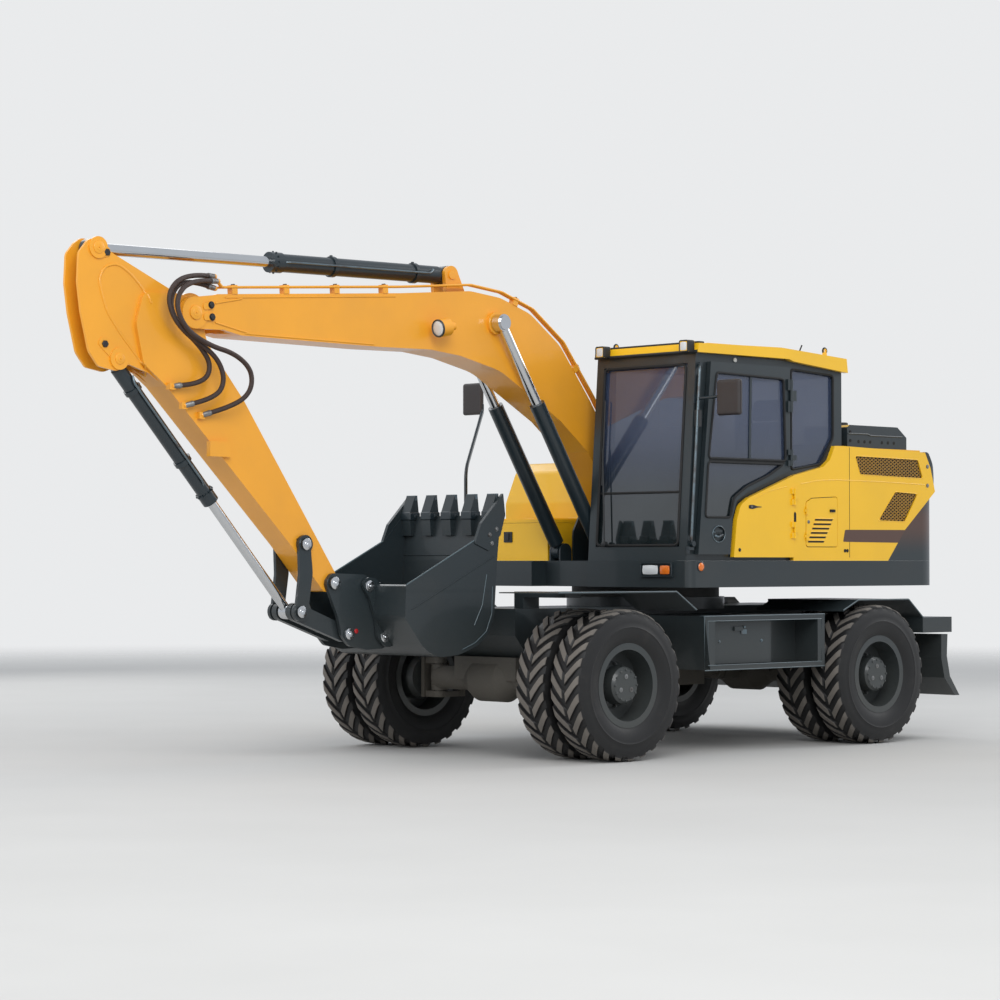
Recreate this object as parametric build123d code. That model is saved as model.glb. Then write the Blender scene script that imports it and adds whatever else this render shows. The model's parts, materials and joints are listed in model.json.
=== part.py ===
from build123d import *
import math
import os

# Wheeled excavator with a one-piece boom, twin tyres and a rear dozer blade. Millimetres.
# X points forward to the bucket, Y to the cab side, Z up; the ground is Z = 0.
# While it is modelled, X = 0 lies half way between the axles; the finished pieces are then
# moved so that the origin is on the ground under the middle of the whole machine.

# Clearances
RUNNING_FIT = 0.05
SEAT_GAP = 0.3
SIDE_GAP = 6.0

# Wheels and axles
WHEELBASE = 2750
TWIN_TRACK = 2066
TWIN_SPACING = 338
TYRE_DIAMETER = 1048
TYRE_WIDTH = 290
RIM_WIDTH = 232
RIM_FLANGE_DIAMETER = 584
RIM_SEAT_DIAMETER = 512
RIM_WALL = 10
DISC_WALL = 14
DISC_OFFSET = 60
HUB_RADIUS = 165
HUB_CAP_RADIUS = 128
HUB_CAP_INSET = 20
SPINDLE_RADIUS = 45
SPINDLE_END = 860
HUB_START = 742
BEAM_RADIUS = 85
DIFFERENTIAL_RADIUS = 160
KINGPIN_Y = 600
KINGPIN_RADIUS = 30
KNUCKLE_EYE_RADIUS = 60
KNUCKLE_EYE_HALF = 95
STEERING_ARM = 170
STEERING_CYLINDER_RADIUS = 42
STEERING_ROD_END = 500

# Chassis
CHASSIS_HALF = 400
CHASSIS_BOTTOM = 690
CHASSIS_TOP = 1040
CHASSIS_FRONT = 1567
CHASSIS_REAR = -1900
SLEW_X = -200
SLEW_TOWER_RADIUS = 600
SLEW_TOWER_TOP = 1110
SLEW_BORE_RADIUS = 420
SLEW_RING_RADIUS = 560

# Side boxes, steps and mudguards
BOX_OUTER = 1262
BOX_INNER = 450
BOX_FRONT = WHEELBASE / 2 - 845
BOX_REAR = 575 - WHEELBASE / 2
BOX_BOTTOM = 600
BOX_TOP = 985
BOX_FRAME = 35
BOX_RECESS = 80
LID_WALL = 15
LID_REAR = -240
GUARD_OUTER = 1310
GUARD_WALL = 8
FRONT_GUARD_INNER = 730
REAR_GUARD_INNER = 460

# Dozer blade
BLADE_HALF = 1300
BLADE_TOP = 810
BLADE_BOTTOM = 330
BLADE_FRONT = -2170
BLADE_ARM = 370
BLADE_ARM_ANGLE = 35
BLADE_ARM_Y = 300
BLADE_PIVOT_X = -1820
BLADE_PIVOT_Z = 400
BLADE_ROD_PIN = 215
BLADE_CYLINDER_Y = 190
BLADE_CYLINDER_X = -1972
BLADE_CYLINDER_Z = 985

# Revolving frame
DECK_BOTTOM = 1190
DECK_TOP = 1380
DECK_HALF = 1270
DECK_FRONT = 690
DECK_NOTCH = 540
DECK_REAR = -2236
COVER_WALL = 36
COVER_REAR = -2080
HOOD_FRONT = -1100
HOOD_REAR = -2006
REAR_PANEL_HALF = DECK_HALF - 8
HOOD_TOP = 2235
HOOD_WALL = 40

# Headlamps at the deck's front corners, with a white and an amber lens
HEADLAMP = {"inner": DECK_HALF - 470, "outer": DECK_HALF - 160, "low": 1262, "high": 1368, "proud": 16}

# Hinge lines of the covers, as (x, y) for upright ones and (x, z) for level ones
SIDE_DOOR_HINGE = (-433, DECK_HALF + 20)
HATCH_HINGE = (-577, DECK_HALF + 8)
HOOD_HINGE = (HOOD_FRONT + 3, HOOD_TOP + 13)
LID_HINGE_TOP = (64, 1706)
LIFTING_EYE = {"x": -2185, "z": 1965, "y": 600, "wall": 30, "hole": 25}

# Cab
CAB_RIGHT = 262
CAB_LEFT = DECK_HALF - 38
CAB_FRONT = 690
CAB_REAR = -1040
CAB_ROOF = 2860
CAB_WALL = 50
CAB_LEAN = 105
DOOR_WALL = 36
DOOR_HINGE_X = -398
GLASS_WALL = 8

# Boom, arm and bucket pins in the X-Z plane
FRONT_Y = -30
BOOM_FOOT = (100, 1720)
BOOM_CYLINDER_FOOT = (470, 1450)
BOOM_CYLINDER_PIN = (1500, 3080)
ARM_PIVOT = (4185, 2989)
ARM_CYLINDER_FOOT = (1855, 3410)
ARM_CYLINDER_PIN = (4900, 3362)
BUCKET_CYLINDER_FOOT = (4735, 2664)
GUIDE_PIVOT = (3242, 1491)
LINK_JOINT = (3284, 1037)
ARM_TIP = (2998, 1229)
COUPLER_LINK_PIN = (2864, 882)
BUCKET_PIN_UPPER = (2703, 1207)
BUCKET_PIN_LOWER = (2566, 856)

# Widths across the boom, arm and bucket
BOOM_HALF = 150
BOOM_CYLINDER_Y = 218
BOOM_CYLINDER_RADIUS = 57
BOOM_ROD_RADIUS = 37
ARM_HALF = 108
ARM_HEAD_HALF = 80
ARM_PLATE = 20
ARM_CYLINDER_RADIUS = 62
ARM_ROD_RADIUS = 37
BUCKET_CYLINDER_RADIUS = 50
BUCKET_ROD_RADIUS = 33
PIN_RADIUS = 32
EYE_RADIUS = 62
LEVER_WALL = 26
COUPLER_WALL = 28
BUCKET_HALF = 490
BUCKET_WALL = 20
TOOTH_PITCH = 212
TOOTH_WIDTH = 92


def block(x0, x1, y0, y1, z0, z1):
    """A box between two corners."""
    centre = Pos((x0 + x1) / 2, (y0 + y1) / 2, (z0 + z1) / 2)
    return centre * Box(abs(x1 - x0), abs(y1 - y0), abs(z1 - z0))


def slab(points, y0, y1, radii=0):
    """An outline of (x, z) points with rounded corners, carried from y0 to y1."""
    corners = [(x, y0, z) for x, z in points]
    face = make_face(FilletPolyline(*corners, radius=radii, close=True))
    return extrude(face, amount=y1 - y0, dir=(0, 1, 0))


def plan(points, z0, z1, radii=0):
    """An outline of (x, y) points with rounded corners, carried from z0 to z1."""
    corners = [(x, y, z0) for x, y in points]
    face = make_face(FilletPolyline(*corners, radius=radii, close=True))
    return extrude(face, amount=z1 - z0, dir=(0, 0, 1))


def bar(start, end, radius):
    """A round bar between two points."""
    a, b = Vector(*start), Vector(*end)
    middle = Align.CENTER
    rod = Cylinder(radius, (b - a).length, align=(middle, middle, Align.MIN))
    return Plane(origin=a, z_dir=b - a) * rod


def disc(pin, radius, y0, y1):
    """A round boss on a pin that runs along Y."""
    return bar((pin[0], min(y0, y1), pin[1]), (pin[0], max(y0, y1), pin[1]), radius)


def ring(profile, x, z):
    """(y, radius) points turned about a wheel's axis, which runs along Y."""
    face = make_face(Polyline(*[(0, y, r) for y, r in profile], close=True))
    return Pos(x, 0, z) * revolve(face, axis=Axis.Y, revolution_arc=360)


def along(start, end, distance, aside=0):
    """The (x, z) point at a distance from one pin towards another, and aside to the left."""
    dx, dz = end[0] - start[0], end[1] - start[1]
    length = math.hypot(dx, dz)
    return (start[0] + (dx * distance - dz * aside) / length,
            start[1] + (dz * distance + dx * aside) / length)


def span(start, end):
    """The distance between two pins."""
    return math.hypot(end[0] - start[0], end[1] - start[1])


def strap(start, end, start_radius, end_radius, y0, y1):
    """A plate that joins two round bosses by straight sides."""
    length = span(start, end)
    sides = [along(start, end, 0, start_radius), along(start, end, length, end_radius),
             along(start, end, length, -end_radius), along(start, end, 0, -start_radius)]
    return slab(sides, y0, y1) + disc(start, start_radius, y0, y1) + disc(end, end_radius, y0, y1)


def at_y(pin, y):
    """A pin's point at a place across the machine."""
    return (pin[0], y, pin[1])


def other_side(shape, y=0):
    """The same piece on the other side of a plane along X and Z."""
    return mirror(shape, about=Plane(origin=(0, y, 0), x_dir=(1, 0, 0), z_dir=(0, 1, 0)))


AXLE_X = {"front": WHEELBASE / 2, "rear": -WHEELBASE / 2}
WHEEL_Z = TYRE_DIAMETER / 2
SIDES = {"left": 1, "right": -1}
NODES = {}


# Tyres and rims
def tyre_pair(x):
    """Two tyres side by side, each a turned section, on the left side of the machine."""
    half, outer = TYRE_WIDTH / 2, TYRE_DIAMETER / 2
    seat, flange = RIM_SEAT_DIAMETER / 2, RIM_FLANGE_DIAMETER / 2
    bead = RIM_WIDTH / 2 - RIM_WALL - SEAT_GAP
    right_half = [(bead, seat + SEAT_GAP), (bead, flange), (half - 8, flange + 30), (half, flange + 120),
                  (half - 6, outer - 55), (half - 26, outer - 12), (half - 80, outer)]
    section = right_half + [(-y, r) for y, r in reversed(right_half)]
    tyres = []
    for y in (TWIN_TRACK / 2 - TWIN_SPACING / 2, TWIN_TRACK / 2 + TWIN_SPACING / 2):
        tyres.append(ring([(y + across, r) for across, r in section], x, WHEEL_Z))
    return tyres


def rim_pair(x):
    """Two rims bolted back to back on one hub, with the hub's cap, on the left side."""
    half, seat = RIM_WIDTH / 2, RIM_SEAT_DIAMETER / 2
    flange, inside = RIM_FLANGE_DIAMETER / 2, RIM_SEAT_DIAMETER / 2 - RIM_WALL
    shell = [(half, inside), (half, flange), (half - RIM_WALL, flange), (half - RIM_WALL, seat),
             (RIM_WALL - half, seat), (RIM_WALL - half, flange), (-half, flange), (-half, inside)]
    inner_y, outer_y = TWIN_TRACK / 2 - TWIN_SPACING / 2, TWIN_TRACK / 2 + TWIN_SPACING / 2
    inner_disc, outer_disc = inner_y + DISC_OFFSET, outer_y - DISC_OFFSET
    cap_end = outer_y + half - HUB_CAP_INSET
    hub = [(HUB_START, 0), (HUB_START, HUB_RADIUS - 25), (HUB_START + 40, HUB_RADIUS),
           (outer_disc + 30, HUB_RADIUS), (outer_disc + 45, HUB_CAP_RADIUS + 6),
           (cap_end - 18, HUB_CAP_RADIUS), (cap_end, HUB_CAP_RADIUS - 18), (cap_end, 0)]
    wheel = ring(hub, x, WHEEL_Z)
    for middle, disc_y in ((inner_y, inner_disc), (outer_y, outer_disc)):
        wheel += ring([(middle + across, r) for across, r in shell], x, WHEEL_Z)
        wheel += ring([(disc_y, HUB_RADIUS - 20), (disc_y + DISC_WALL, HUB_RADIUS - 20),
                       (disc_y + DISC_WALL, inside + 4), (disc_y, inside + 4)], x, WHEEL_Z)
    bore = disc((x, WHEEL_Z), SPINDLE_RADIUS + RUNNING_FIT, HUB_START - 1, SPINDLE_END + 5)
    return wheel - bore


for axle, x in AXLE_X.items():
    for side, sign in SIDES.items():
        tyres, rims = tyre_pair(x), rim_pair(x)
        NODES[f"tyres_{axle}_{side}"] = tyres if sign > 0 else [other_side(t) for t in tyres]
        NODES[f"rims_{axle}_{side}"] = [rims if sign > 0 else other_side(rims)]


# Axles and steering
def axle_beam(x, end_y, towards_middle):
    """An axle tube with its differential, its saddle pad and the shaft flange."""
    beam = disc((x, WHEEL_Z), BEAM_RADIUS, -end_y, end_y)
    beam += ring([(-260, 0), (-260, BEAM_RADIUS), (-130, DIFFERENTIAL_RADIUS),
                  (130, DIFFERENTIAL_RADIUS), (260, BEAM_RADIUS), (260, 0)], x, WHEEL_Z)
    beam += bar((x, 0, WHEEL_Z), (x + towards_middle * 330, 0, WHEEL_Z), 70)
    return beam + block(x - 110, x + 110, -320, 320, WHEEL_Z, CHASSIS_BOTTOM - SEAT_GAP)


def front_axle():
    """The steered axle, ending in an upright eye for each kingpin."""
    x = AXLE_X["front"]
    beam = axle_beam(x, KINGPIN_Y, -1)
    beam += disc((x - STEERING_ARM, WHEEL_Z), STEERING_CYLINDER_RADIUS, -230, 230)
    for y in (-KINGPIN_Y, KINGPIN_Y):
        low, high = WHEEL_Z - KNUCKLE_EYE_HALF, WHEEL_Z + KNUCKLE_EYE_HALF
        clear = KNUCKLE_EYE_RADIUS + SIDE_GAP
        beam -= block(x - 120, x + 120, y, y + math.copysign(200, y), 0, 1000)
        beam += bar((x, y, low), (x, y, high), KNUCKLE_EYE_RADIUS)
        beam -= bar((x, y, high), (x, y, high + clear), clear) + bar((x, y, low - clear), (x, y, low),
                                                                     clear)
        beam -= bar((x, y, low - 5), (x, y, high + 5), KINGPIN_RADIUS + RUNNING_FIT)
    rod_bore = disc((x - STEERING_ARM, WHEEL_Z), 20 + RUNNING_FIT, -240, 240)
    return beam - rod_bore


def knuckle():
    """The left steering knuckle: two arms on the kingpin, a plate, the spindle and the steering arm."""
    x, y = AXLE_X["front"], KINGPIN_Y
    plate_y = y + KNUCKLE_EYE_RADIUS + 30
    arm_low = KNUCKLE_EYE_HALF + SIDE_GAP
    piece = block(x - 70, x + 70, plate_y, plate_y + 34, WHEEL_Z - arm_low - 45, WHEEL_Z + arm_low + 45)
    for sign in (1, -1):
        near, far = WHEEL_Z + sign * arm_low, WHEEL_Z + sign * (arm_low + 45)
        piece += bar((x, y, near), (x, y, far), 55) + block(x - 55, x + 55, y, plate_y + 10, near, far)
    piece += bar((x, y, WHEEL_Z - arm_low), (x, y, WHEEL_Z + arm_low), KINGPIN_RADIUS)
    low = WHEEL_Z - arm_low - 45
    piece += block(x - STEERING_ARM - 20, x, y - 60, y + 10, low, low + 40)
    piece += block(x - STEERING_ARM - 20, x - STEERING_ARM + 15, y - 75, y - 35, low, WHEEL_Z + 20)
    return piece + disc((x, WHEEL_Z), SPINDLE_RADIUS, plate_y, SPINDLE_END)


def rear_axle():
    """The rear axle with a spindle at each end."""
    x = AXLE_X["rear"]
    beam = axle_beam(x, HUB_START - 12, 1)
    return beam + disc((x, WHEEL_Z), SPINDLE_RADIUS, -SPINDLE_END, SPINDLE_END)


NODES["front_axle"] = [front_axle()]
NODES["rear_axle"] = [rear_axle()]
NODES["knuckle_left"] = [knuckle()]
NODES["knuckle_right"] = [other_side(knuckle())]
NODES["steering_rod"] = [disc((AXLE_X["front"] - STEERING_ARM, WHEEL_Z), 20,
                              -STEERING_ROD_END, STEERING_ROD_END)]


# Drive line between the axles
def drive_line():
    """The gearbox under the chassis and the two shafts to the axles."""
    gear_x, shaft_z = -520, WHEEL_Z
    gearbox = block(gear_x - 160, gear_x + 160, -170, 170, shaft_z - 90, CHASSIS_BOTTOM - SEAT_GAP)
    gearbox += bar((gear_x - 200, 0, shaft_z), (gear_x + 200, 0, shaft_z), 60)
    front_end, rear_end = AXLE_X["front"] - 330 - SEAT_GAP, AXLE_X["rear"] + 330 + SEAT_GAP
    shafts = bar((gear_x + 200, 0, shaft_z), (front_end, 0, shaft_z), 38)
    shafts += bar((rear_end, 0, shaft_z), (gear_x - 200, 0, shaft_z), 38)
    for x0, x1 in ((front_end - 60, front_end), (rear_end, rear_end + 60)):
        shafts += bar((x0, 0, shaft_z), (x1, 0, shaft_z), 62)
    return gearbox + shafts


NODES["drive_line"] = [drive_line()]


# Chassis with the slewing tower and the blade's brackets
BLADE_ANGLE = math.radians(180 - BLADE_ARM_ANGLE)
BLADE_PIVOT = (BLADE_PIVOT_X, BLADE_PIVOT_Z)
BLADE_PIN = (BLADE_PIVOT_X + BLADE_ARM * math.cos(BLADE_ANGLE),
             BLADE_PIVOT_Z + BLADE_ARM * math.sin(BLADE_ANGLE))
BLADE_TOP_PIN = (BLADE_CYLINDER_X, BLADE_CYLINDER_Z)
BLADE_ROD = along(BLADE_PIVOT, BLADE_PIN, BLADE_ROD_PIN)


def chassis():
    """The box frame that everything below the slewing ring hangs on."""
    side = [(CHASSIS_REAR, CHASSIS_TOP), (CHASSIS_FRONT, CHASSIS_TOP), (CHASSIS_FRONT, 850),
            (CHASSIS_FRONT - 130, CHASSIS_BOTTOM), (CHASSIS_REAR, CHASSIS_BOTTOM)]
    frame = slab(side, -CHASSIS_HALF, CHASSIS_HALF)
    frame += bar((SLEW_X, 0, CHASSIS_TOP - 20), (SLEW_X, 0, SLEW_TOWER_TOP), SLEW_TOWER_RADIUS)
    frame += bar((SLEW_X, 0, SLEW_TOWER_TOP - 10), (SLEW_X, 0, DECK_BOTTOM - 15), SLEW_BORE_RADIUS)
    for y in (-1, 1):
        cheek = [(CHASSIS_REAR + 150, CHASSIS_BOTTOM + 20), (BLADE_PIVOT_X - 60, CHASSIS_BOTTOM + 20),
                 (BLADE_PIVOT_X - 50, BLADE_PIVOT_Z - 40), (BLADE_PIVOT_X + 50, BLADE_PIVOT_Z - 50)]
        for gap in (-1, 1):
            near = y * BLADE_ARM_Y + gap * (30 + SIDE_GAP)
            frame += slab(cheek, near, near + gap * 24)
        frame += disc(BLADE_PIVOT, 25, y * BLADE_ARM_Y - 50, y * BLADE_ARM_Y + 50)
        for gap in (-1, 1):
            near = y * BLADE_CYLINDER_Y + gap * (25 + SIDE_GAP)
            base = (CHASSIS_REAR + 60, BLADE_CYLINDER_Z - 40)
            frame += strap(BLADE_TOP_PIN, base, 34, 50, near, near + gap * 20)
        frame += disc(BLADE_TOP_PIN, 20, y * BLADE_CYLINDER_Y - 45, y * BLADE_CYLINDER_Y + 45)
        for x0, x1 in ((-650, -500), (200, 350)):
            frame += block(x0, x1, y * (CHASSIS_HALF - 10), y * (BOX_INNER - SEAT_GAP), 700, 950)
    return frame


NODES["chassis"] = [chassis()]


# Mudguards, rear lamp brackets and step boxes
def mudguards():
    """Left guards: a folded plate over each pair of tyres, and its bracket to the chassis."""
    plates = []
    ahead, behind = AXLE_X["front"], AXLE_X["rear"]
    front = [(ahead + 665, 1165), (ahead - 500, 1165), (ahead - 708, 1035)]
    rear = [(behind + 415, 1010), (behind + 235, 1087), (behind - 375, 1087), (behind - 555, 945)]
    # Each row: the guard's line, its top, its inner edge and its bracket's start
    table = ((front, 1165, FRONT_GUARD_INNER, ahead - 75), (rear, 1087, REAR_GUARD_INNER, behind - 85))
    for line, top, inner, x0 in table:
        below = [(x, z - GUARD_WALL) for x, z in reversed(line)]
        plate = slab(line + below, inner, GUARD_OUTER)
        plate += block(x0, x0 + 160, CHASSIS_HALF - 120, inner + 60, top - 45, top - GUARD_WALL / 2)
        post_in, post_out = CHASSIS_HALF - 120, CHASSIS_HALF - 30
        plate += block(x0, x0 + 160, post_in, post_out, CHASSIS_TOP + SEAT_GAP, top - 20)
        plates.append(plate)
    lamp = block(behind - 915, behind - 550, 1020, GUARD_OUTER, 825, 944)
    plates[1] += lamp
    return plates


NODES["mudguards"] = mudguards() + [other_side(p) for p in mudguards()]


def side_box():
    """The left step box between the tyres, with a recess for its lid and a step pocket."""
    face = [(BOX_FRONT, BOX_TOP), (BOX_REAR, BOX_TOP), (BOX_REAR, BOX_BOTTOM), (BOX_FRONT - 60, BOX_BOTTOM)]
    box = slab(face, BOX_INNER, BOX_OUTER)
    front, rear = BOX_FRONT - 110, BOX_REAR + 80
    low, high = BOX_BOTTOM + BOX_FRAME, BOX_TOP - BOX_FRAME
    box -= block(rear, front, BOX_OUTER - BOX_RECESS, BOX_OUTER + 10, low, high)
    box -= block(LID_REAR + 20, front - 20, BOX_OUTER - 480, BOX_OUTER, low + 15, high - 15)
    return box - block(rear, LID_REAR - 40, BOX_OUTER - 220, BOX_OUTER, low, high)


def side_lid():
    """The lid in the left box's recess, hinged along its lower edge."""
    front, low, high = BOX_FRONT - 110, BOX_BOTTOM + BOX_FRAME, BOX_TOP - BOX_FRAME
    outer = BOX_OUTER - BOX_RECESS + LID_WALL + SEAT_GAP
    lid = block(LID_REAR, front - SIDE_GAP, outer - LID_WALL, outer, low + SIDE_GAP, high - SIDE_GAP)
    return lid + block(60, 150, outer - 1, outer + 14, high - 75, high - 45)


LID_HINGE = (BOX_OUTER - BOX_RECESS + LID_WALL + SEAT_GAP, BOX_BOTTOM + BOX_FRAME + SIDE_GAP)
NODES["side_boxes"] = [side_box(), other_side(side_box())]
NODES["box_lid_left"] = [side_lid()]
NODES["box_lid_right"] = [other_side(side_lid())]


# Dozer blade, its arms and its cylinders

def dozer_blade():
    """The pressed blade with its hinge ears towards the arms."""
    face = [(BLADE_FRONT, BLADE_TOP), (BLADE_FRONT - 80, BLADE_TOP), (BLADE_FRONT - 70, 640),
            (BLADE_FRONT - 110, 480), (BLADE_FRONT - 230, BLADE_BOTTOM), (BLADE_FRONT - 175, BLADE_BOTTOM),
            (BLADE_FRONT - 40, 470), (BLADE_FRONT, 620)]
    blade = slab(face, -BLADE_HALF, BLADE_HALF)
    for y in (-BLADE_ARM_Y, BLADE_ARM_Y):
        for gap in (-1, 1):
            near = y + gap * (30 + SIDE_GAP)
            ear = [(BLADE_FRONT - 20, 720), (BLADE_PIN[0] + 30, 670), (BLADE_PIN[0] + 40, 600),
                   (BLADE_FRONT - 30, 520)]
            blade += slab(ear, near, near + gap * 22)
        blade += disc(BLADE_PIN, 22, y - 45, y + 45)
    return blade


def blade_arms():
    """The two short arms of the blade's linkage, joined by a cross tube with the rods' lugs."""
    piece = disc(BLADE_ROD, 30, -BLADE_ARM_Y, BLADE_ARM_Y)
    for y in (-BLADE_ARM_Y, BLADE_ARM_Y):
        arm = strap(BLADE_PIVOT, BLADE_PIN, 48, 44, y - 30, y + 30)
        arm -= disc(BLADE_PIVOT, 25 + RUNNING_FIT, y - 50, y + 50)
        piece += arm - disc(BLADE_PIN, 22 + RUNNING_FIT, y - 50, y + 50)
    return piece


def cylinder_barrel(foot, pin, length, radius, eye, y, half, gland=1.12):
    """A barrel with its eye on the foot's pin, its neck, its gland and the bore for its rod."""
    start, end = along(foot, pin, eye + 12), along(foot, pin, length)
    neck, collar = along(foot, pin, eye * 0.5), along(foot, pin, length - radius * 1.6)
    body = bar(at_y(start, y), at_y(end, y), radius) + bar(at_y(collar, y), at_y(end, y), radius * gland)
    return body + bar(at_y(neck, y), at_y(start, y), half) + disc(foot, eye, y - half, y + half)


def cylinder_rod(foot, pin, barrel, radius, eye, y, half, inside=120):
    """A plated rod that starts inside its barrel and ends in an eye at its pin."""
    start, end = along(foot, pin, barrel - inside), along(foot, pin, span(foot, pin) - eye * 0.6)
    return bar(at_y(start, y), at_y(end, y), radius) + disc(pin, eye, y - half, y + half)


def bored(barrel, foot, pin, length, radius, y, depth, pin_radius, half):
    """The barrel with the bore that its rod slides in and the bore for its foot's pin."""
    inner, outer = along(foot, pin, length - depth), along(foot, pin, length + 5)
    barrel -= bar(at_y(inner, y), at_y(outer, y), radius + RUNNING_FIT)
    return barrel - disc(foot, pin_radius + RUNNING_FIT, y - half - 5, y + half + 5)


BLADE_BARREL = 300
blade_barrels, blade_rods = [], []
for y in (-BLADE_CYLINDER_Y, BLADE_CYLINDER_Y):
    barrel = cylinder_barrel(BLADE_TOP_PIN, BLADE_ROD, BLADE_BARREL, 40, 34, y, 25)
    barrel = bored(barrel, BLADE_TOP_PIN, BLADE_ROD, BLADE_BARREL, 20, y, 250, 20, 25)
    blade_barrels.append(barrel)
    rod_end = span(BLADE_TOP_PIN, BLADE_ROD) - 38
    blade_rods.append(bar(at_y(along(BLADE_TOP_PIN, BLADE_ROD, BLADE_BARREL - 200), y),
                          at_y(along(BLADE_TOP_PIN, BLADE_ROD, rod_end), y), 20))
NODES["dozer_blade"] = [dozer_blade()]
NODES["blade_arms"] = [blade_arms()]
NODES["blade_barrels"] = blade_barrels
NODES["blade_rods"] = blade_rods


# Revolving frame
def hinge(axis, centre, low, high, radius, fixed, moving):
    """A hinge's halves along Z or Y: the middle knuckle with the pin, and the outer knuckles."""
    u, v = centre

    def rod(start, end, size):
        if axis == "z":
            return bar((u, v, start), (u, v, end), size)
        return bar((u, start, v), (u, end, v), size)

    def leaf(box, start, end):
        if axis == "z":
            return block(*box, start, end)
        return block(box[0], box[1], start, end, box[2], box[3])

    third = (high - low) / 3
    middle = rod(low + third + 1, high - third - 1, radius) + rod(low, high, radius / 2)
    for box in fixed:
        middle += leaf(box, low + third + 1, high - third - 1)
    ends = []
    for start, end in ((low, low + third), (high - third, high)):
        knuckle = rod(start, end, radius)
        for box in moving:
            knuckle += leaf(box, start, end)
        ends.append(knuckle - rod(low - 5, high + 5, radius / 2 + RUNNING_FIT))
    return middle, ends[0] + ends[1]


def revolving_frame():
    """The deck with its rounded rear, the boom's tower plates and the cylinders' lugs."""
    outline = [(DECK_FRONT, 90 - DECK_HALF), (DECK_FRONT, DECK_HALF), (DECK_REAR, DECK_HALF),
               (DECK_REAR, -DECK_HALF), (600, -DECK_HALF)]
    deck = plan(outline, DECK_BOTTOM, DECK_TOP, radii=[0, 60, 260, 260, 60])
    deck -= bar((SLEW_X, 0, DECK_BOTTOM - 5), (SLEW_X, 0, DECK_BOTTOM + 30), SLEW_RING_RADIUS - 60)
    deck -= block(DECK_NOTCH, DECK_FRONT + 10, -330, CAB_RIGHT - 7, DECK_BOTTOM - 5, DECK_TOP + 5)
    tower = [(390, DECK_TOP - 20), (390, 1600), (300, 1760), (100, 1860), (-60, 1790),
             (-420, DECK_TOP - 20)]
    foot_base = (BOOM_CYLINDER_FOOT[0], DECK_TOP - 80)
    for side in (-1, 1):
        near = FRONT_Y + side * (BOOM_HALF + SIDE_GAP)
        outer = FRONT_Y + side * (BOOM_CYLINDER_Y + 34 + SIDE_GAP)
        deck += slab(tower, near, near + side * 14, radii=[0, 60, 80, 80, 80, 0])
        deck += disc(BOOM_FOOT, 105, near, near + side * 40)
        for inside in (near, outer):
            deck += strap(BOOM_CYLINDER_FOOT, foot_base, 60, 60, inside, inside + side * 14)
        deck += disc(BOOM_CYLINDER_FOOT, PIN_RADIUS, near, outer + side * 14)
    for sign in (-1, 1):
        near, far = sign * HEADLAMP["inner"], sign * HEADLAMP["outer"]
        low, high, front = HEADLAMP["low"], HEADLAMP["high"], DECK_FRONT + HEADLAMP["proud"]
        deck += block(DECK_FRONT - 10, front, near, far, low, high)
        deck -= block(front - 12, front + 5, near + sign * 14, far - sign * 14, low + 12, high - 12)
        deck += block(front - 14, front - 4, near + sign * 22, near + sign * 172, low + 20, high - 20)
        deck += block(front - 14, front - 4, near + sign * 190, far - sign * 22, low + 20, high - 20)
    return deck + disc(BOOM_FOOT, 45, FRONT_Y - BOOM_HALF - 20, FRONT_Y + BOOM_HALF + 20)


def slew_ring():
    """The ring under the deck, round the chassis tower's stub."""
    outer = bar((SLEW_X, 0, SLEW_TOWER_TOP + SEAT_GAP), (SLEW_X, 0, DECK_BOTTOM - SEAT_GAP),
                SLEW_RING_RADIUS)
    return outer - bar((SLEW_X, 0, SLEW_TOWER_TOP), (SLEW_X, 0, DECK_BOTTOM),
                       SLEW_BORE_RADIUS + RUNNING_FIT)


NODES["revolving_frame"] = [revolving_frame()]
NODES["slew_ring"] = [slew_ring()]

# Counterweight, engine and covers
COUNTERWEIGHT_SIDE = [(-1549, DECK_TOP + SEAT_GAP), (-1759, 1618), (-2137, 1917), (DECK_REAR, 1890),
                      (DECK_REAR, DECK_TOP + SEAT_GAP)]


def counterweight():
    """A cast block across the rear, rounded in plan, with the slanted front edge of its cheeks."""
    rear = [(-1500, DECK_HALF), (DECK_REAR, DECK_HALF), (DECK_REAR, -DECK_HALF), (-1500, -DECK_HALF)]
    mass = slab(COUNTERWEIGHT_SIDE, -DECK_HALF, DECK_HALF)
    mass &= plan(rear, DECK_TOP, 2000, radii=[0, 260, 260, 0])
    mass -= block(-2000, -1400, 90 - DECK_HALF, DECK_HALF - 90, DECK_TOP - 5, 2100)
    front, rear_face = LIFTING_EYE["x"] + LIFTING_EYE["wall"] / 2, LIFTING_EYE["x"] - LIFTING_EYE["wall"] / 2
    for sign in (-1, 1):
        y, z = sign * LIFTING_EYE["y"], LIFTING_EYE["z"]
        mass += bar((rear_face, y, z), (front, y, z), 42) + block(rear_face, front, y - 42, y + 42, 1860, z)
        mass -= bar((rear_face - 5, y, z), (front + 5, y, z), LIFTING_EYE["hole"])
    return mass


def side_cover(front_line):
    """The left engine cover from its front edge to the counterweight's slanted edge."""
    rear_line = [(-1012, 2240), (-2012, 2218), (COVER_REAR, 2100), (-2137, 1917 + SEAT_GAP),
                 (-1759, 1618 + SEAT_GAP), (-1549, DECK_TOP + SEAT_GAP)]
    return slab(front_line + rear_line, DECK_HALF - COVER_WALL, DECK_HALF)


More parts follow.
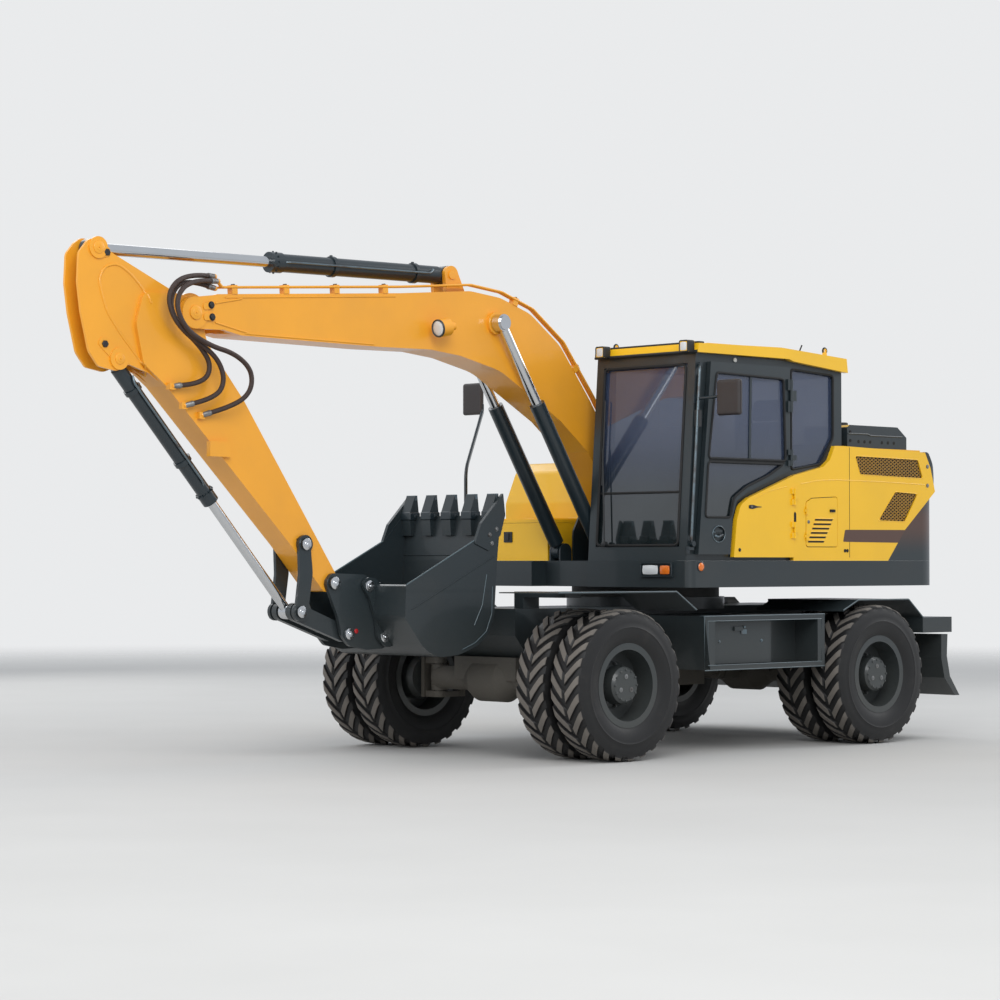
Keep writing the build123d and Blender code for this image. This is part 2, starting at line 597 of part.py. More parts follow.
FRONT_DOOR_LINE = [(233, DECK_TOP + 25), (200, 1674), (157, 1782), (69, 1834), (-174, 1918), (-430, 2004)]
LEFT_COVER_LINE = [(-436, DECK_TOP + SEAT_GAP), (-436, 2006), (-777, 2078), (-858, 2132), (-917, 2238)]
RIGHT_COVER_LINE = [(-436, DECK_TOP + SEAT_GAP), (-436, 2100), (-760, 2180), (-917, 2238)]
HATCH = [(-575, 1480), (-575, 1815), (-640, 1845), (-945, 1860), (-945, 1480)]
left_cover = side_cover(LEFT_COVER_LINE) - slab(HATCH, DECK_HALF - COVER_WALL - 5, DECK_HALF + 5, radii=25)
HATCH_LEAF = [(-580, 1485), (-580, 1811), (-642, 1840), (-940, 1855), (-940, 1485)]
GRILLE_DEPTH = 14
GRILLES = [[(-1153, 2170), (-1924, 2160), (-1986, 2015), (-1213, 2029)],
           [(-1637, 1908), (-1922, 1897), (-1759, 1679), (-1428, 1684)]]
SIDE_DOOR_OUTLINE = FRONT_DOOR_LINE + [(-430, DECK_TOP + 25)]
side_door = slab(SIDE_DOOR_OUTLINE, CAB_LEFT + 8, DECK_HALF + 8, radii=[4, 60, 90, 60, 60, 0, 0])
hatch = slab(HATCH_LEAF, DECK_HALF - 20, DECK_HALF + 2, radii=22)
for z in (1545, 1790):
    x, y = SIDE_DOOR_HINGE
    half, other = hinge("z", (x, y), z, z + 120, 10, [(x - 33, x, DECK_HALF - 2, y)], [(x, x + 33, DECK_HALF - 2, y)])
    left_cover += half
    side_door += other
for z in (1530, 1720):
    x, y = HATCH_HINGE
    half, other = hinge("z", (x, y), z, z + 60, 5, [(x, x + 17, DECK_HALF - 2, y)], [(x - 25, x, DECK_HALF - 2, y)])
    left_cover += half
    hatch += other
right_cover = other_side(side_cover(RIGHT_COVER_LINE))
for outline in GRILLES:
    pocket = slab(outline, DECK_HALF - GRILLE_DEPTH, DECK_HALF + 5, radii=18)
    left_cover -= pocket
    right_cover -= other_side(pocket)
NODES["engine_covers"] = [left_cover, right_cover]
NODES["hatch_left"] = [hatch]
NODES["side_door_left"] = [side_door]
NODES["counterweight"] = [counterweight()]
NODES["engine"] = [block(-1950, -1250, -750, 550, DECK_TOP + SEAT_GAP, 2050)]


def hood():
    """The top lid over the engine with the exhaust's cowl on it."""
    lid = block(HOOD_REAR, HOOD_FRONT, 45 - DECK_HALF, DECK_HALF - 45, HOOD_TOP - HOOD_WALL, HOOD_TOP)
    cowl = [(-1170, HOOD_TOP - 5), (-1170, 2390), (-1200, 2409), (-1780, 2407), (-1854, 2330),
            (-1854, HOOD_TOP - 5)]
    low_box = block(-1892, -1800, DECK_HALF - 490, DECK_HALF - 110, HOOD_TOP - 5, 2318)
    return lid + slab(cowl, DECK_HALF - 510, DECK_HALF - 90, radii=[0, 20, 20, 40, 20, 0]) + low_box


def bulkhead():
    """The engine bay's front wall with the shelf behind the boom and tank, and its rear wall."""
    front, floor = HOOD_FRONT + SIDE_GAP, DECK_TOP + SEAT_GAP
    right, left = 1 - DECK_HALF + COVER_WALL, DECK_HALF - COVER_WALL - 1
    wall = block(front, CAB_REAR - 10, right, left, floor, 2225)
    shelf = [(-470, floor), (-430, floor), (-430, 2095), (-760, 2172), (-917, 2225), (front + 10, 2225),
             (front + 10, 2205), (-920, 2205), (-766, 2152), (-470, 2075)]
    wall += slab(shelf, right, CAB_RIGHT - 7)
    rear = [(-2013, 2222), (-2062, 2222), (-2128, 2120), (-2195, 1901.8), (-2138, 1917 + SEAT_GAP),
            (-2081, 2100)]
    panel = slab(rear, -REAR_PANEL_HALF, REAR_PANEL_HALF, radii=[0, 40, 150, 0, 0, 0])
    panel &= plan([(-1900, REAR_PANEL_HALF), (-2210, REAR_PANEL_HALF), (-2210, -REAR_PANEL_HALF),
                   (-1900, -REAR_PANEL_HALF)], 1800, 2300, radii=[0, 120, 120, 0])
    near, far = LIFTING_EYE["y"] - 80, LIFTING_EYE["y"] + 80
    for sign in (-1, 1):
        panel -= block(-2300, -1990, sign * near, sign * far, 1850, 2060)
    return [wall, panel]


bay_walls, lid = bulkhead(), hood()
x, z = HOOD_HINGE
for y in (-780, 640):
    fixed = [(x, x + 33, z - 6, z), (x + 8, x + 33, 2215, z)]
    half, other = hinge("y", HOOD_HINGE, y, y + 150, 8, fixed, [(x - 40, x, HOOD_TOP - 2, z)])
    bay_walls[0] += half
    lid += other
NODES["hood"] = [lid]
NODES["bulkheads"] = bay_walls


# Right side: tank, stepped tool box and its lid
TOOLBOX = {"front": 520, "rear": 60, "inner": -330, "outer": 90 - DECK_HALF, "top": 1690}


def tank():
    """The fuel and oil tank beside the boom, with its sloped and rounded front."""
    side = [(54, DECK_TOP + SEAT_GAP), (54, 1830), (-60, 2080), (-180, 2150), (-424, 2150),
            (-424, DECK_TOP + SEAT_GAP)]
    return slab(side, -DECK_HALF, -360, radii=[0, 60, 90, 90, 0, 0])


def toolbox():
    """An open box on the right front corner, with a tread plate on its lid."""
    rear, front, outer, inner = (TOOLBOX[key] for key in ("rear", "front", "outer", "inner"))
    box = block(rear, front, outer, inner, DECK_TOP + SEAT_GAP, TOOLBOX["top"] - 24)
    return box - block(rear + 20, front - 20, outer + 20, inner - 20, DECK_TOP + 20, TOOLBOX["top"])


def toolbox_lid():
    """The lid with a raised tread step."""
    rear, front, outer, inner, top = (TOOLBOX[key] for key in ("rear", "front", "outer", "inner", "top"))
    lid = block(rear, front, outer, inner, top - 22, top)
    return lid + block(rear + 40, front - 60, outer + 60, inner - 60, top - 1, top + 12)


right_tank, box_lid = tank(), toolbox_lid()
x, z = LID_HINGE_TOP
for y in (-1060, -560):
    half, other = hinge("y", LID_HINGE_TOP, y, y + 120, 8, [(50, x, z - 8, z)], [(x, x + 26, z - 18, z)])
    right_tank += half
    box_lid += other
NODES["tank"] = [right_tank]
NODES["toolbox"] = [toolbox()]
NODES["toolbox_lid"] = [box_lid]


# Cab
def cab_x(z):
    """The windscreen plane's X at a height."""
    return CAB_FRONT - CAB_LEAN * (z - DECK_TOP) / (CAB_ROOF - DECK_TOP)


CAB_FLOOR = DECK_TOP + SEAT_GAP
SCREEN_SPLIT = 1870
DOOR_TOP = 2800
DOOR_LINE = [(cab_x(1425) - 80, 1425), (cab_x(DOOR_TOP) - 120, DOOR_TOP), (DOOR_HINGE_X, DOOR_TOP),
             (DOOR_HINGE_X, 2045), (-164, 1960), (79, 1874), (193, 1810), (240, 1690), (266, 1425)]


def shrunk(outline, amount):
    """An outline moved inwards, as a face's offset, for a piece that sits in it."""
    corners = [(x, 0, z) for x, z in outline]
    face = make_face(Polyline(*corners, close=True))
    return offset(face, amount=-amount, kind=Kind.INTERSECTION)


def cab_shell():
    """The hollow cab: floor, pillars and walls with the door and window openings cut."""
    outer = [(CAB_FRONT, CAB_FLOOR), (cab_x(CAB_ROOF), CAB_ROOF), (CAB_REAR, CAB_ROOF - 20),
             (CAB_REAR, CAB_FLOOR)]
    wall = CAB_WALL
    inner = [(CAB_FRONT - wall, CAB_FLOOR + 40), (cab_x(CAB_ROOF) - wall, CAB_ROOF + 10),
             (CAB_REAR + wall, CAB_ROOF + 10), (CAB_REAR + wall, CAB_FLOOR + 40)]
    shell = slab(outer, CAB_RIGHT, CAB_LEFT) - slab(inner, CAB_RIGHT + wall, CAB_LEFT - wall)
    glass_top = CAB_ROOF - 70
    shell -= block(CAB_FRONT - 250, CAB_FRONT + 50, CAB_RIGHT + 70, CAB_LEFT - 75, 1480, glass_top)
    bar_x = cab_x(SCREEN_SPLIT)
    split = block(bar_x - 50, bar_x - 30, CAB_RIGHT + 60, CAB_LEFT - 65, SCREEN_SPLIT - 12,
                  SCREEN_SPLIT + 12)
    shell += split
    shell -= block(CAB_REAR - 50, CAB_REAR + 100, CAB_RIGHT + 70, CAB_LEFT - 75, 2260, glass_top - 20)
    right = [(480, 1480), (440, glass_top), (-950, glass_top), (-950, 2000), (-200, 1900), (-200, 1480)]
    shell -= slab(right, CAB_RIGHT - 10, CAB_RIGHT + wall + 10)
    quarter = [(-455, glass_top), (-940, glass_top - 25), (-940, 2300), (-790, 2100), (-455, 2050)]
    shell -= slab(quarter, CAB_LEFT - wall - 10, CAB_LEFT + 10)
    opening = extrude(shrunk(DOOR_LINE, 26), amount=wall + 20, dir=(0, 1, 0))
    return shell - Pos(0, CAB_LEFT - wall - 10, 0) * opening


def cab_glazing():
    """The fixed panes, each set in its opening with a small gap."""
    gap, top = SEAT_GAP, CAB_ROOF - 70
    screen = slab([(cab_x(1480) - 20, 1480 + gap), (cab_x(top) - 20, top - gap), (cab_x(top) - 28, top - gap),
                   (cab_x(1480) - 28, 1480 + gap)], CAB_RIGHT + 70 + gap, CAB_LEFT - 75 - gap)
    rear = block(CAB_REAR + 15, CAB_REAR + 15 + GLASS_WALL, CAB_RIGHT + 70 + gap, CAB_LEFT - 75 - gap,
                 2260 + gap, top - 20 - gap)
    right = [(480 - gap, 1480 + gap), (440 - gap, top - gap), (-950 + gap, top - gap),
             (-950 + gap, 2000 + gap),
             (-200 + gap, 1900 + gap), (-200 + gap, 1480 + gap)]
    quarter = [(-455 - gap, top - gap), (-940 + gap, top - 25 - gap), (-940 + gap, 2300),
               (-790, 2100 + gap), (-455 - gap, 2050 + gap)]
    return [screen, rear, slab(right, CAB_RIGHT + 15, CAB_RIGHT + 15 + GLASS_WALL),
            slab(quarter, CAB_LEFT - 25, CAB_LEFT - 25 + GLASS_WALL)]


def cab_roof():
    """The yellow roof, thicker at its front, with a raised middle."""
    side = [(cab_x(CAB_ROOF) + 25, CAB_ROOF + 2), (cab_x(CAB_ROOF) + 15, 2925), (-300, 2940),
            (CAB_REAR - 10, 2895),
            (CAB_REAR - 25, 2790), (-440, 2845), (-380, CAB_ROOF + 2)]
    edge = slab(side, CAB_LEFT + 3, DECK_HALF + 6)
    top = [(cab_x(CAB_ROOF) + 25, CAB_ROOF + SEAT_GAP), (cab_x(CAB_ROOF) + 15, 2925), (-300, 2940),
           (CAB_REAR - 10, 2895), (CAB_REAR - 10, CAB_ROOF + SEAT_GAP)]
    roof = slab(top, CAB_RIGHT - 10, DECK_HALF + 6) + edge
    front = cab_x(CAB_ROOF) + 25
    for y in (CAB_RIGHT + 70, DECK_HALF - 110):
        roof += block(front - 40, front + 4, y + 30, y + 50, 2880, 2925)
        roof += block(front - 2, front + 62, y, y + 80, 2862, 2942)
        roof += block(front + 60, front + 70, y + 6, y + 74, 2868, 2936)
    for x, y in ((460, CAB_RIGHT + 60), (-900, CAB_RIGHT + 60), (-900, DECK_HALF - 90)):
        eye = (x, 2952)
        roof += disc(eye, 20, y, y + 12) + block(x - 20, x + 20, y, y + 12, 2890, 2952)
        roof -= disc(eye, 10, y - 5, y + 20)
    hatch = slab([(260, 2925), (250, 2958), (-330, 2962), (-340, 2930)], CAB_RIGHT + 190, CAB_LEFT - 190)
    return roof + hatch + bar((-640, 1140, 2900), (-680, 1150, 2985), 4)


DOOR_Y = CAB_LEFT + 5
DOOR_HINGE_Y = DOOR_Y + DOOR_WALL + 12


def door_windows():
    """The outlines of the door's upper and lower panes."""
    upper = [(cab_x(2110) - 140, 2110), (cab_x(2725) - 185, 2725), (-325, 2710), (-345, 2110)]
    lower = [(cab_x(1690) - 135, 1690), (cab_x(2085) - 140, 2085), (-320, 2085), (-150, 2000), (90, 1915),
             (225, 1835), (262, 1690)]
    return upper, lower


def cab_door():
    """The door plate with its two window openings and the hinge barrels at its rear edge."""
    door = slab(DOOR_LINE, DOOR_Y, DOOR_Y + DOOR_WALL)
    for outline in door_windows():
        door -= slab(outline, DOOR_Y - 5, DOOR_Y + DOOR_WALL + 5)
    handle = (390, 1570)
    door -= disc(handle, 62, DOOR_Y + DOOR_WALL - 14, DOOR_Y + DOOR_WALL + 5)
    door += block(350, 430, DOOR_Y + DOOR_WALL - 16, DOOR_Y + DOOR_WALL - 1, 1582, 1602)
    return door


def door_glass():
    """The two panes of the door."""
    return [extrude(Pos(0, DOOR_Y + 14, 0) * shrunk(outline, SEAT_GAP), amount=GLASS_WALL, dir=(0, 1, 0))
            for outline in door_windows()]


def seat():
    """The driver's seat: base, cushion, back and head rest, with an arm rest each side."""
    middle = (CAB_RIGHT + CAB_LEFT) / 2
    floor = CAB_FLOOR + 40 + SEAT_GAP
    base = block(-620, -180, middle - 190, middle + 190, floor, 1780)
    cushion = [(-640, 1775), (-640, 1880), (-130, 1895), (-110, 1830), (-140, 1775)]
    back = [(-640, 1850), (-780, 2430), (-690, 2440), (-520, 1870)]
    rests = [(-560, 2060), (-560, 2120), (-180, 2120), (-180, 2060)]
    piece = base + slab(cushion, middle - 240, middle + 240) + slab(back, middle - 230, middle + 230)
    piece += slab([(-770, 2425), (-800, 2590), (-730, 2600), (-690, 2430)], middle - 130, middle + 130)
    for side in (-1, 1):
        piece += slab(rests, middle + side * 250, middle + side * 320)
        piece += slab([(-560, 1780), (-560, 2070), (-420, 2070), (-420, 1780)], middle + side * 235,
                      middle + side * 300)
    return piece


def console():
    """The steering column with its wheel, and the side consoles."""
    middle = (CAB_RIGHT + CAB_LEFT) / 2
    floor = CAB_FLOOR + 40 + SEAT_GAP
    column = slab([(330, floor), (260, 1900), (210, 1900), (200, floor)], middle - 60, middle + 60)
    hub = Vector(225, middle, 1960)
    tilt = Plane(origin=hub, z_dir=(-0.5, 0, 1))
    wheel = tilt * Torus(190, 14) + tilt * Box(370, 40, 14) + tilt * Cylinder(45, 30)
    return column + wheel + bar((235, middle, 1880), (225, middle, 1960), 30)


shell, door = cab_shell(), cab_door()
for low, high in ((2075, 2195), (2470, 2710)):
    x, y = DOOR_HINGE_X, DOOR_HINGE_Y
    fixed = [(x - 50, x, y - 6, y + 6), (x - 52, x - 34, CAB_LEFT - 10, y + 6)]
    half, other = hinge("z", (x, y), low, high, 12, fixed, [(x, x + 40, DOOR_Y + DOOR_WALL - 6, y + 4)])
    shell += half
    door += other
NODES["cab_shell"] = [shell]
NODES["cab_glazing"] = cab_glazing()
NODES["cab_roof"] = [cab_roof()]
NODES["cab_door"] = [door]
NODES["door_glass"] = door_glass()
NODES["seat"] = [seat()]
NODES["steering_column"] = [console()]


# Mirrors and their poles
def mirrors():
    """The left mirror on the cab's front pillar, and the right one on its pole from the deck."""
    left = block(565, 600, 1440, 1660, 2400, 2655)
    left += bar((582, 1445, 2540), (600, CAB_LEFT + 12, 2530), 11)
    left += block(575, 625, CAB_LEFT + SEAT_GAP, CAB_LEFT + 16, 2500, 2560)
    points = [(533, -1220, DECK_TOP + SEAT_GAP), (533, -1220, 2090), (140, -1450, 2560), (140, -1450, 2600)]
    path = FilletPolyline(*points, radius=[120, 30])
    section = Plane(origin=points[0], z_dir=(0, 0, 1)) * Circle(14)
    right = sweep(section, path=path)
    return [left, right + block(123, 157, -1660, -1440, 2540, 2790)]


NODES["mirrors"] = mirrors()


# Boom
def boom():
    """The one-piece boom: a bent box, its fork at the arm, and the arm cylinder's ears."""
    outline = [(4020, 3120), (2400, 3237), (1740, 3297), (1445, 3268), (1145, 3172), (838, 2957),
               (525, 2568),
               (-10, 1820), (20, 1640), (150, 1620), (230, 1760), (546, 2183), (838, 2408), (1144, 2578),
               (1445, 2744), (1835, 2831), (2121, 2860), (2585, 2853), (3803, 2862), (4020, 2905)]
    radii = [20, 0, 300, 300, 300, 400, 0, 60, 60, 60, 0, 0, 0, 0, 500, 300, 0, 0, 0, 20]
    low, high = FRONT_Y - BOOM_HALF, FRONT_Y + BOOM_HALF
    body = slab(outline, low, high, radii=radii)
    gap = ARM_HALF + SIDE_GAP
    body -= block(3960, 4500, FRONT_Y - gap, FRONT_Y + gap, 2500, 3500)
    body -= disc(ARM_PIVOT, 300, FRONT_Y - gap, FRONT_Y + gap)
    for side in (-1, 1):
        inner, outer = FRONT_Y + side * gap, FRONT_Y + side * BOOM_HALF
        cheek = [(3960, 3123), (ARM_PIVOT[0], 3092), (ARM_PIVOT[0], 2885), (3960, 2890)]
        body += slab(cheek, inner, outer) + disc(ARM_PIVOT, 104, inner, outer + side * 8)
        ear_in, ear_out = FRONT_Y + side * (42 + SIDE_GAP), FRONT_Y + side * 80
        body += strap(ARM_CYLINDER_FOOT, (1800, 3220), 64, 100, ear_in, ear_out)
        body += disc(BOOM_CYLINDER_PIN, 80, outer - side * 5,
                     FRONT_Y + side * (BOOM_CYLINDER_Y - 36 - SIDE_GAP))
    body += disc(ARM_CYLINDER_FOOT, PIN_RADIUS, FRONT_Y - 90, FRONT_Y + 90)
    body += disc(ARM_PIVOT, 48, low - 12, high + 12)
    return body - disc(BOOM_FOOT, 45 + RUNNING_FIT, low - 5, high + 5)


def boom_fittings():
    """The pipes along the boom's top with their clamps and hose ends, and the work lamp."""
    line = [(4020, 3120), (2400, 3237), (1740, 3297), (1445, 3268), (1145, 3172), (838, 2957),
            (525, 2568), (150, 2044)]
    raised = [along(a, b, 0, -PIPE_RISE) for a, b in zip(line, line[1:])]
    raised.append(along(line[-1], line[-2], 0, PIPE_RISE))
    raised[0] = along(raised[0], raised[1], 60)
    pieces = None
    for y, hose_route in zip(PIPE_Y, HOSES.values()):
        mouth, way = Vector(*hose_route[0]), Vector(*hose_route[1]) - Vector(*hose_route[0])
        start = tuple(mouth - way.normalized() * HOSE_END)
        route = [start] + [at_y(point, y) for point in raised]
        path = FilletPolyline(*route, radius=[40] + [120] * (len(route) - 3))
        first_way = Vector(*route[1]) - Vector(*start)
        pipe = sweep(Plane(origin=start, z_dir=first_way) * Circle(PIPE_RADIUS), path=path)
        pipe += bar(start, tuple(mouth), HOSE_RADIUS + 4) + Pos(*start) * Sphere(HOSE_RADIUS + 4)
        pieces = pipe if pieces is None else pieces + pipe
    for a, b, places in ((0, 1, (120, 560, 1000, 1440)), (3, 4, (140,)), (5, 6, (250,)), (6, 7, (330,))):
        for place in places:
            corners = [(place, SEAT_GAP), (place + 45, SEAT_GAP), (place + 45, PIPE_RISE + 14),
                       (place, PIPE_RISE + 14)]
            outline = [along(line[b], line[a], d, h) for d, h in corners]
            pieces += slab(outline, PIPE_Y[0] - 14, PIPE_Y[-1] + 2)
    side = FRONT_Y + BOOM_HALF + SEAT_GAP
    lamp = block(1990, 2030, side, 235, 3010, 3040) + bar((2005, 235, 3025), (2090, 235, 3010), 30)
    lamp += bar((2060, 235, 3015), (2150, 235, 3000), 62)
    return [pieces, lamp]


# Hose routes from the boom's pipes, round the pivot, to the arm's side, as (x, y, z) points
HOSE_RADIUS = 13.5
HOSE_END = 70
PIPE_RADIUS = 8
PIPE_RISE = 45
PIPE_Y = (88, 106, 124)
HOSES = {
    "hose_inner": [(4080, 116, 3170), (4300, 145, 3205), (4425, 158, 3060), (4360, 160, 2900),
                   (4180, 160, 2780), (4075, 158, 2650), (4130, 145, 2530), (4290, 118, 2512)],
    "hose_middle": [(4080, 118, 3235), (4310, 172, 3230), (4465, 190, 3090), (4398, 192, 2905),
                    (4205, 192, 2790), (4045, 190, 2690), (3985, 184, 2550), (4045, 165, 2440),
                    (4190, 118, 2400)],
    "hose_outer": [(4080, 152, 3200), (4290, 196, 3190), (4425, 224, 3045), (4350, 226, 2870),
                   (4145, 226, 2770), (3935, 224, 2730), (3790, 218, 2630), (3785, 205, 2490),
                   (3895, 172, 2395), (4050, 118, 2345)],
}


def hose(route):
    """A hose of straight runs and the largest arcs between them, with the radii it used."""
    points = [Vector(*point) for point in route]
    radii = []
    for before, corner, after in zip(points, points[1:], points[2:]):
        turn = math.radians((corner - before).get_angle(after - corner))
        radii.append(0.45 * min((corner - before).length, (after - corner).length) / math.tan(turn / 2))
    path = FilletPolyline(*route, radius=radii)
    tube = sweep(Plane(origin=points[0], z_dir=points[1] - points[0]) * Circle(HOSE_RADIUS), path=path)
    return tube, radii, path.length


hose_facts = {}
for name, route in HOSES.items():
    tube, radii, length = hose(route)
    NODES[name] = [tube]
    hose_facts[name] = ([round(radius) for radius in radii], round(length), round(tube.volume / length))
NODES["boom"] = [boom()]
NODES["boom_fittings"] = boom_fittings()
BOOM_BARREL, ARM_BARREL, BUCKET_BARREL = 1260, 1600, 1200
boom_barrels, boom_rods = [], []
for side in (-1, 1):
    y = FRONT_Y + side * BOOM_CYLINDER_Y
    pins = (BOOM_CYLINDER_FOOT, BOOM_CYLINDER_PIN)
    barrel = cylinder_barrel(*pins, BOOM_BARREL, BOOM_CYLINDER_RADIUS, EYE_RADIUS, y, 34, gland=1.0)
    boom_barrels.append(bored(barrel, *pins, BOOM_BARREL, BOOM_ROD_RADIUS, y, 1150, PIN_RADIUS, 34))
    rod = cylinder_rod(*pins, BOOM_BARREL, BOOM_ROD_RADIUS, EYE_RADIUS, y, 34, inside=620)
    boom_rods.append(rod + disc(BOOM_CYLINDER_PIN, 50, y + side * 33, y + side * 48))
NODES["boom_barrels"] = boom_barrels
NODES["boom_rods"] = boom_rods

pins = (ARM_CYLINDER_FOOT, ARM_CYLINDER_PIN)
barrel = cylinder_barrel(*pins, ARM_BARREL, ARM_CYLINDER_RADIUS, 66, FRONT_Y, 42)
NODES["arm_barrel"] = [bored(barrel, *pins, ARM_BARREL, ARM_ROD_RADIUS, FRONT_Y, 1480, PIN_RADIUS, 42)]
NODES["arm_rod"] = [cylinder_rod(*pins, ARM_BARREL, ARM_ROD_RADIUS, 60, FRONT_Y, 38, inside=140)]


# Arm
def arm():
    """The arm: two head plates with their eyes, and a tapering box down to the tip."""
    head = [(4953, 3430), (5043, 3322), (5052, 3133), (5026, 2947), (4964, 2700), (4890, 2609),
            (4750, 2585), (4657, 2634), (4500, 2584), (4050, 2300), (3900, 2600), (4150, 3000),
            (4264, 3106), (4776, 3330)]
    radii = [60, 60, 100, 200, 100, 40, 60, 40, 60, 0, 0, 0, 150, 60]
    shaft = [(4264, 3106), (4560, 3100), (4620, 2900), (4560, 2640), (4382, 2506), (3345, 1484),
             (3040, 1150), (2925, 1230), (2960, 1303), (3746, 2436), (4061, 2814), (4090, 3000)]
    shaft_radii = [80, 60, 120, 60, 100, 200, 60, 40, 60, 400, 200, 60]
    body = slab(shaft, FRONT_Y - ARM_HALF, FRONT_Y + ARM_HALF, radii=shaft_radii)
    for side in (-1, 1):
        inner = FRONT_Y + side * (ARM_HEAD_HALF - ARM_PLATE)
        outer = FRONT_Y + side * ARM_HEAD_HALF
        body += slab(head, inner, outer, radii=radii)
        for pin in (ARM_CYLINDER_PIN, BUCKET_CYLINDER_FOOT):
            body += disc(pin, 70, outer - side * 2, outer + side * 12)
    body += disc(BUCKET_CYLINDER_FOOT, PIN_RADIUS, FRONT_Y - ARM_HEAD_HALF, FRONT_Y + ARM_HEAD_HALF)
    body += disc(ARM_PIVOT, 130, FRONT_Y - ARM_HALF, FRONT_Y + ARM_HALF)
    body += disc(GUIDE_PIVOT, PIN_RADIUS, FRONT_Y - ARM_HALF - 44, FRONT_Y + ARM_HALF + 44)
    body += disc(ARM_TIP, PIN_RADIUS, FRONT_Y - ARM_HALF - 50, FRONT_Y + ARM_HALF + 50)
    face = FRONT_Y + ARM_HALF
    for route in HOSES.values():
        before, end = Vector(*route[-2]), Vector(*route[-1])
        tip = end + (end - before).normalized() * HOSE_END
        body += bar(tuple(end), tuple(tip), HOSE_RADIUS + 4)
        body += block(tip.X - 22, tip.X + 22, face - 5, tip.Y + 12, tip.Z - 22, tip.Z + 22)
    body += block(3880, 4050, face - 5, face + 34, 2060, 2160)
    return body - disc(ARM_PIVOT, 48 + RUNNING_FIT, FRONT_Y - 200, FRONT_Y + 200)


NODES["arm"] = [arm()]
pins = (BUCKET_CYLINDER_FOOT, LINK_JOINT)
barrel = cylinder_barrel(*pins, BUCKET_BARREL, BUCKET_CYLINDER_RADIUS, 60, FRONT_Y, 44)
NODES["bucket_barrel"] = [bored(barrel, *pins, BUCKET_BARREL, BUCKET_ROD_RADIUS, FRONT_Y, 1060,
                                PIN_RADIUS, 44)]
NODES["bucket_rod"] = [cylinder_rod(*pins, BUCKET_BARREL, BUCKET_ROD_RADIUS, 52, FRONT_Y, 38, inside=250)]


# Bucket linkage
def guide_levers():
    """The two curved levers beside the arm, joined at their lower ends by a pin's two halves."""
    pieces = []
    for side in (-1, 1):
        near = FRONT_Y + side * (ARM_HALF + SIDE_GAP)
        far = near + side * LEVER_WALL
        bow = [(3205, 1530), (3180, 1300), (3225, 1000), (3330, 990), (3290, 1290), (3300, 1530)]
        lever = slab(bow, near, far, radii=[0, 150, 0, 0, 150, 0])
        lever += disc(GUIDE_PIVOT, 62, near, far) + disc(LINK_JOINT, 62, near, far)
        lever += disc(LINK_JOINT, PIN_RADIUS, FRONT_Y + side * 48, far + side * 12)
        pieces.append(lever - disc(GUIDE_PIVOT, PIN_RADIUS + RUNNING_FIT, near, far))
    return pieces


def link():
    """The H-shaped link from the levers' pin to the coupler."""
    piece = None
    for side in (-1, 1):
        inner, outer = FRONT_Y + side * (38 + SIDE_GAP + 6), FRONT_Y + side * (ARM_HALF - 10)
        side_plate = strap(LINK_JOINT, COUPLER_LINK_PIN, 60, 55, inner, outer)
        side_plate -= disc(LINK_JOINT, PIN_RADIUS + RUNNING_FIT, inner, outer)
        piece = side_plate if piece is None else piece + side_plate
    middle = along(LINK_JOINT, COUPLER_LINK_PIN, span(LINK_JOINT, COUPLER_LINK_PIN) - 130)
    return piece + disc(middle, 40, FRONT_Y - 60, FRONT_Y + 60)


def coupler():
    """The quick coupler: two side plates from the arm's tip pin to the hooks, and the block between."""
    outline = [(3070, 1235), (3015, 1296), (2720, 1285), (2646, 1240), (2632, 1150), (2512, 880),
               (2510, 800),
               (2560, 775), (2700, 770), (2860, 800), (2925, 870), (2960, 1000)]
    body = None
    for side in (-1, 1):
        near = FRONT_Y + side * (ARM_HALF + SIDE_GAP)
        radii = [50, 50, 60, 40, 60, 30, 20, 20, 60, 60, 40, 90]
        plate = slab(outline, near, near + side * COUPLER_WALL, radii=radii)
        plate += disc(COUPLER_LINK_PIN, 46, near + side * 10, near + side * (COUPLER_WALL + 8))
        plate -= disc(ARM_TIP, PIN_RADIUS + RUNNING_FIT, near - 5 * side, near + side * (COUPLER_WALL + 5))
        body = plate if body is None else body + plate
    web = [(2700, 1180), (2660, 1180), (2560, 920), (2640, 880), (2720, 1000)]
    body += slab(web, FRONT_Y - ARM_HALF - 10, FRONT_Y + ARM_HALF + 10)
    for pin in (BUCKET_PIN_UPPER, BUCKET_PIN_LOWER):
        body += disc(pin, PIN_RADIUS, FRONT_Y - 173, FRONT_Y + 173)
    return body


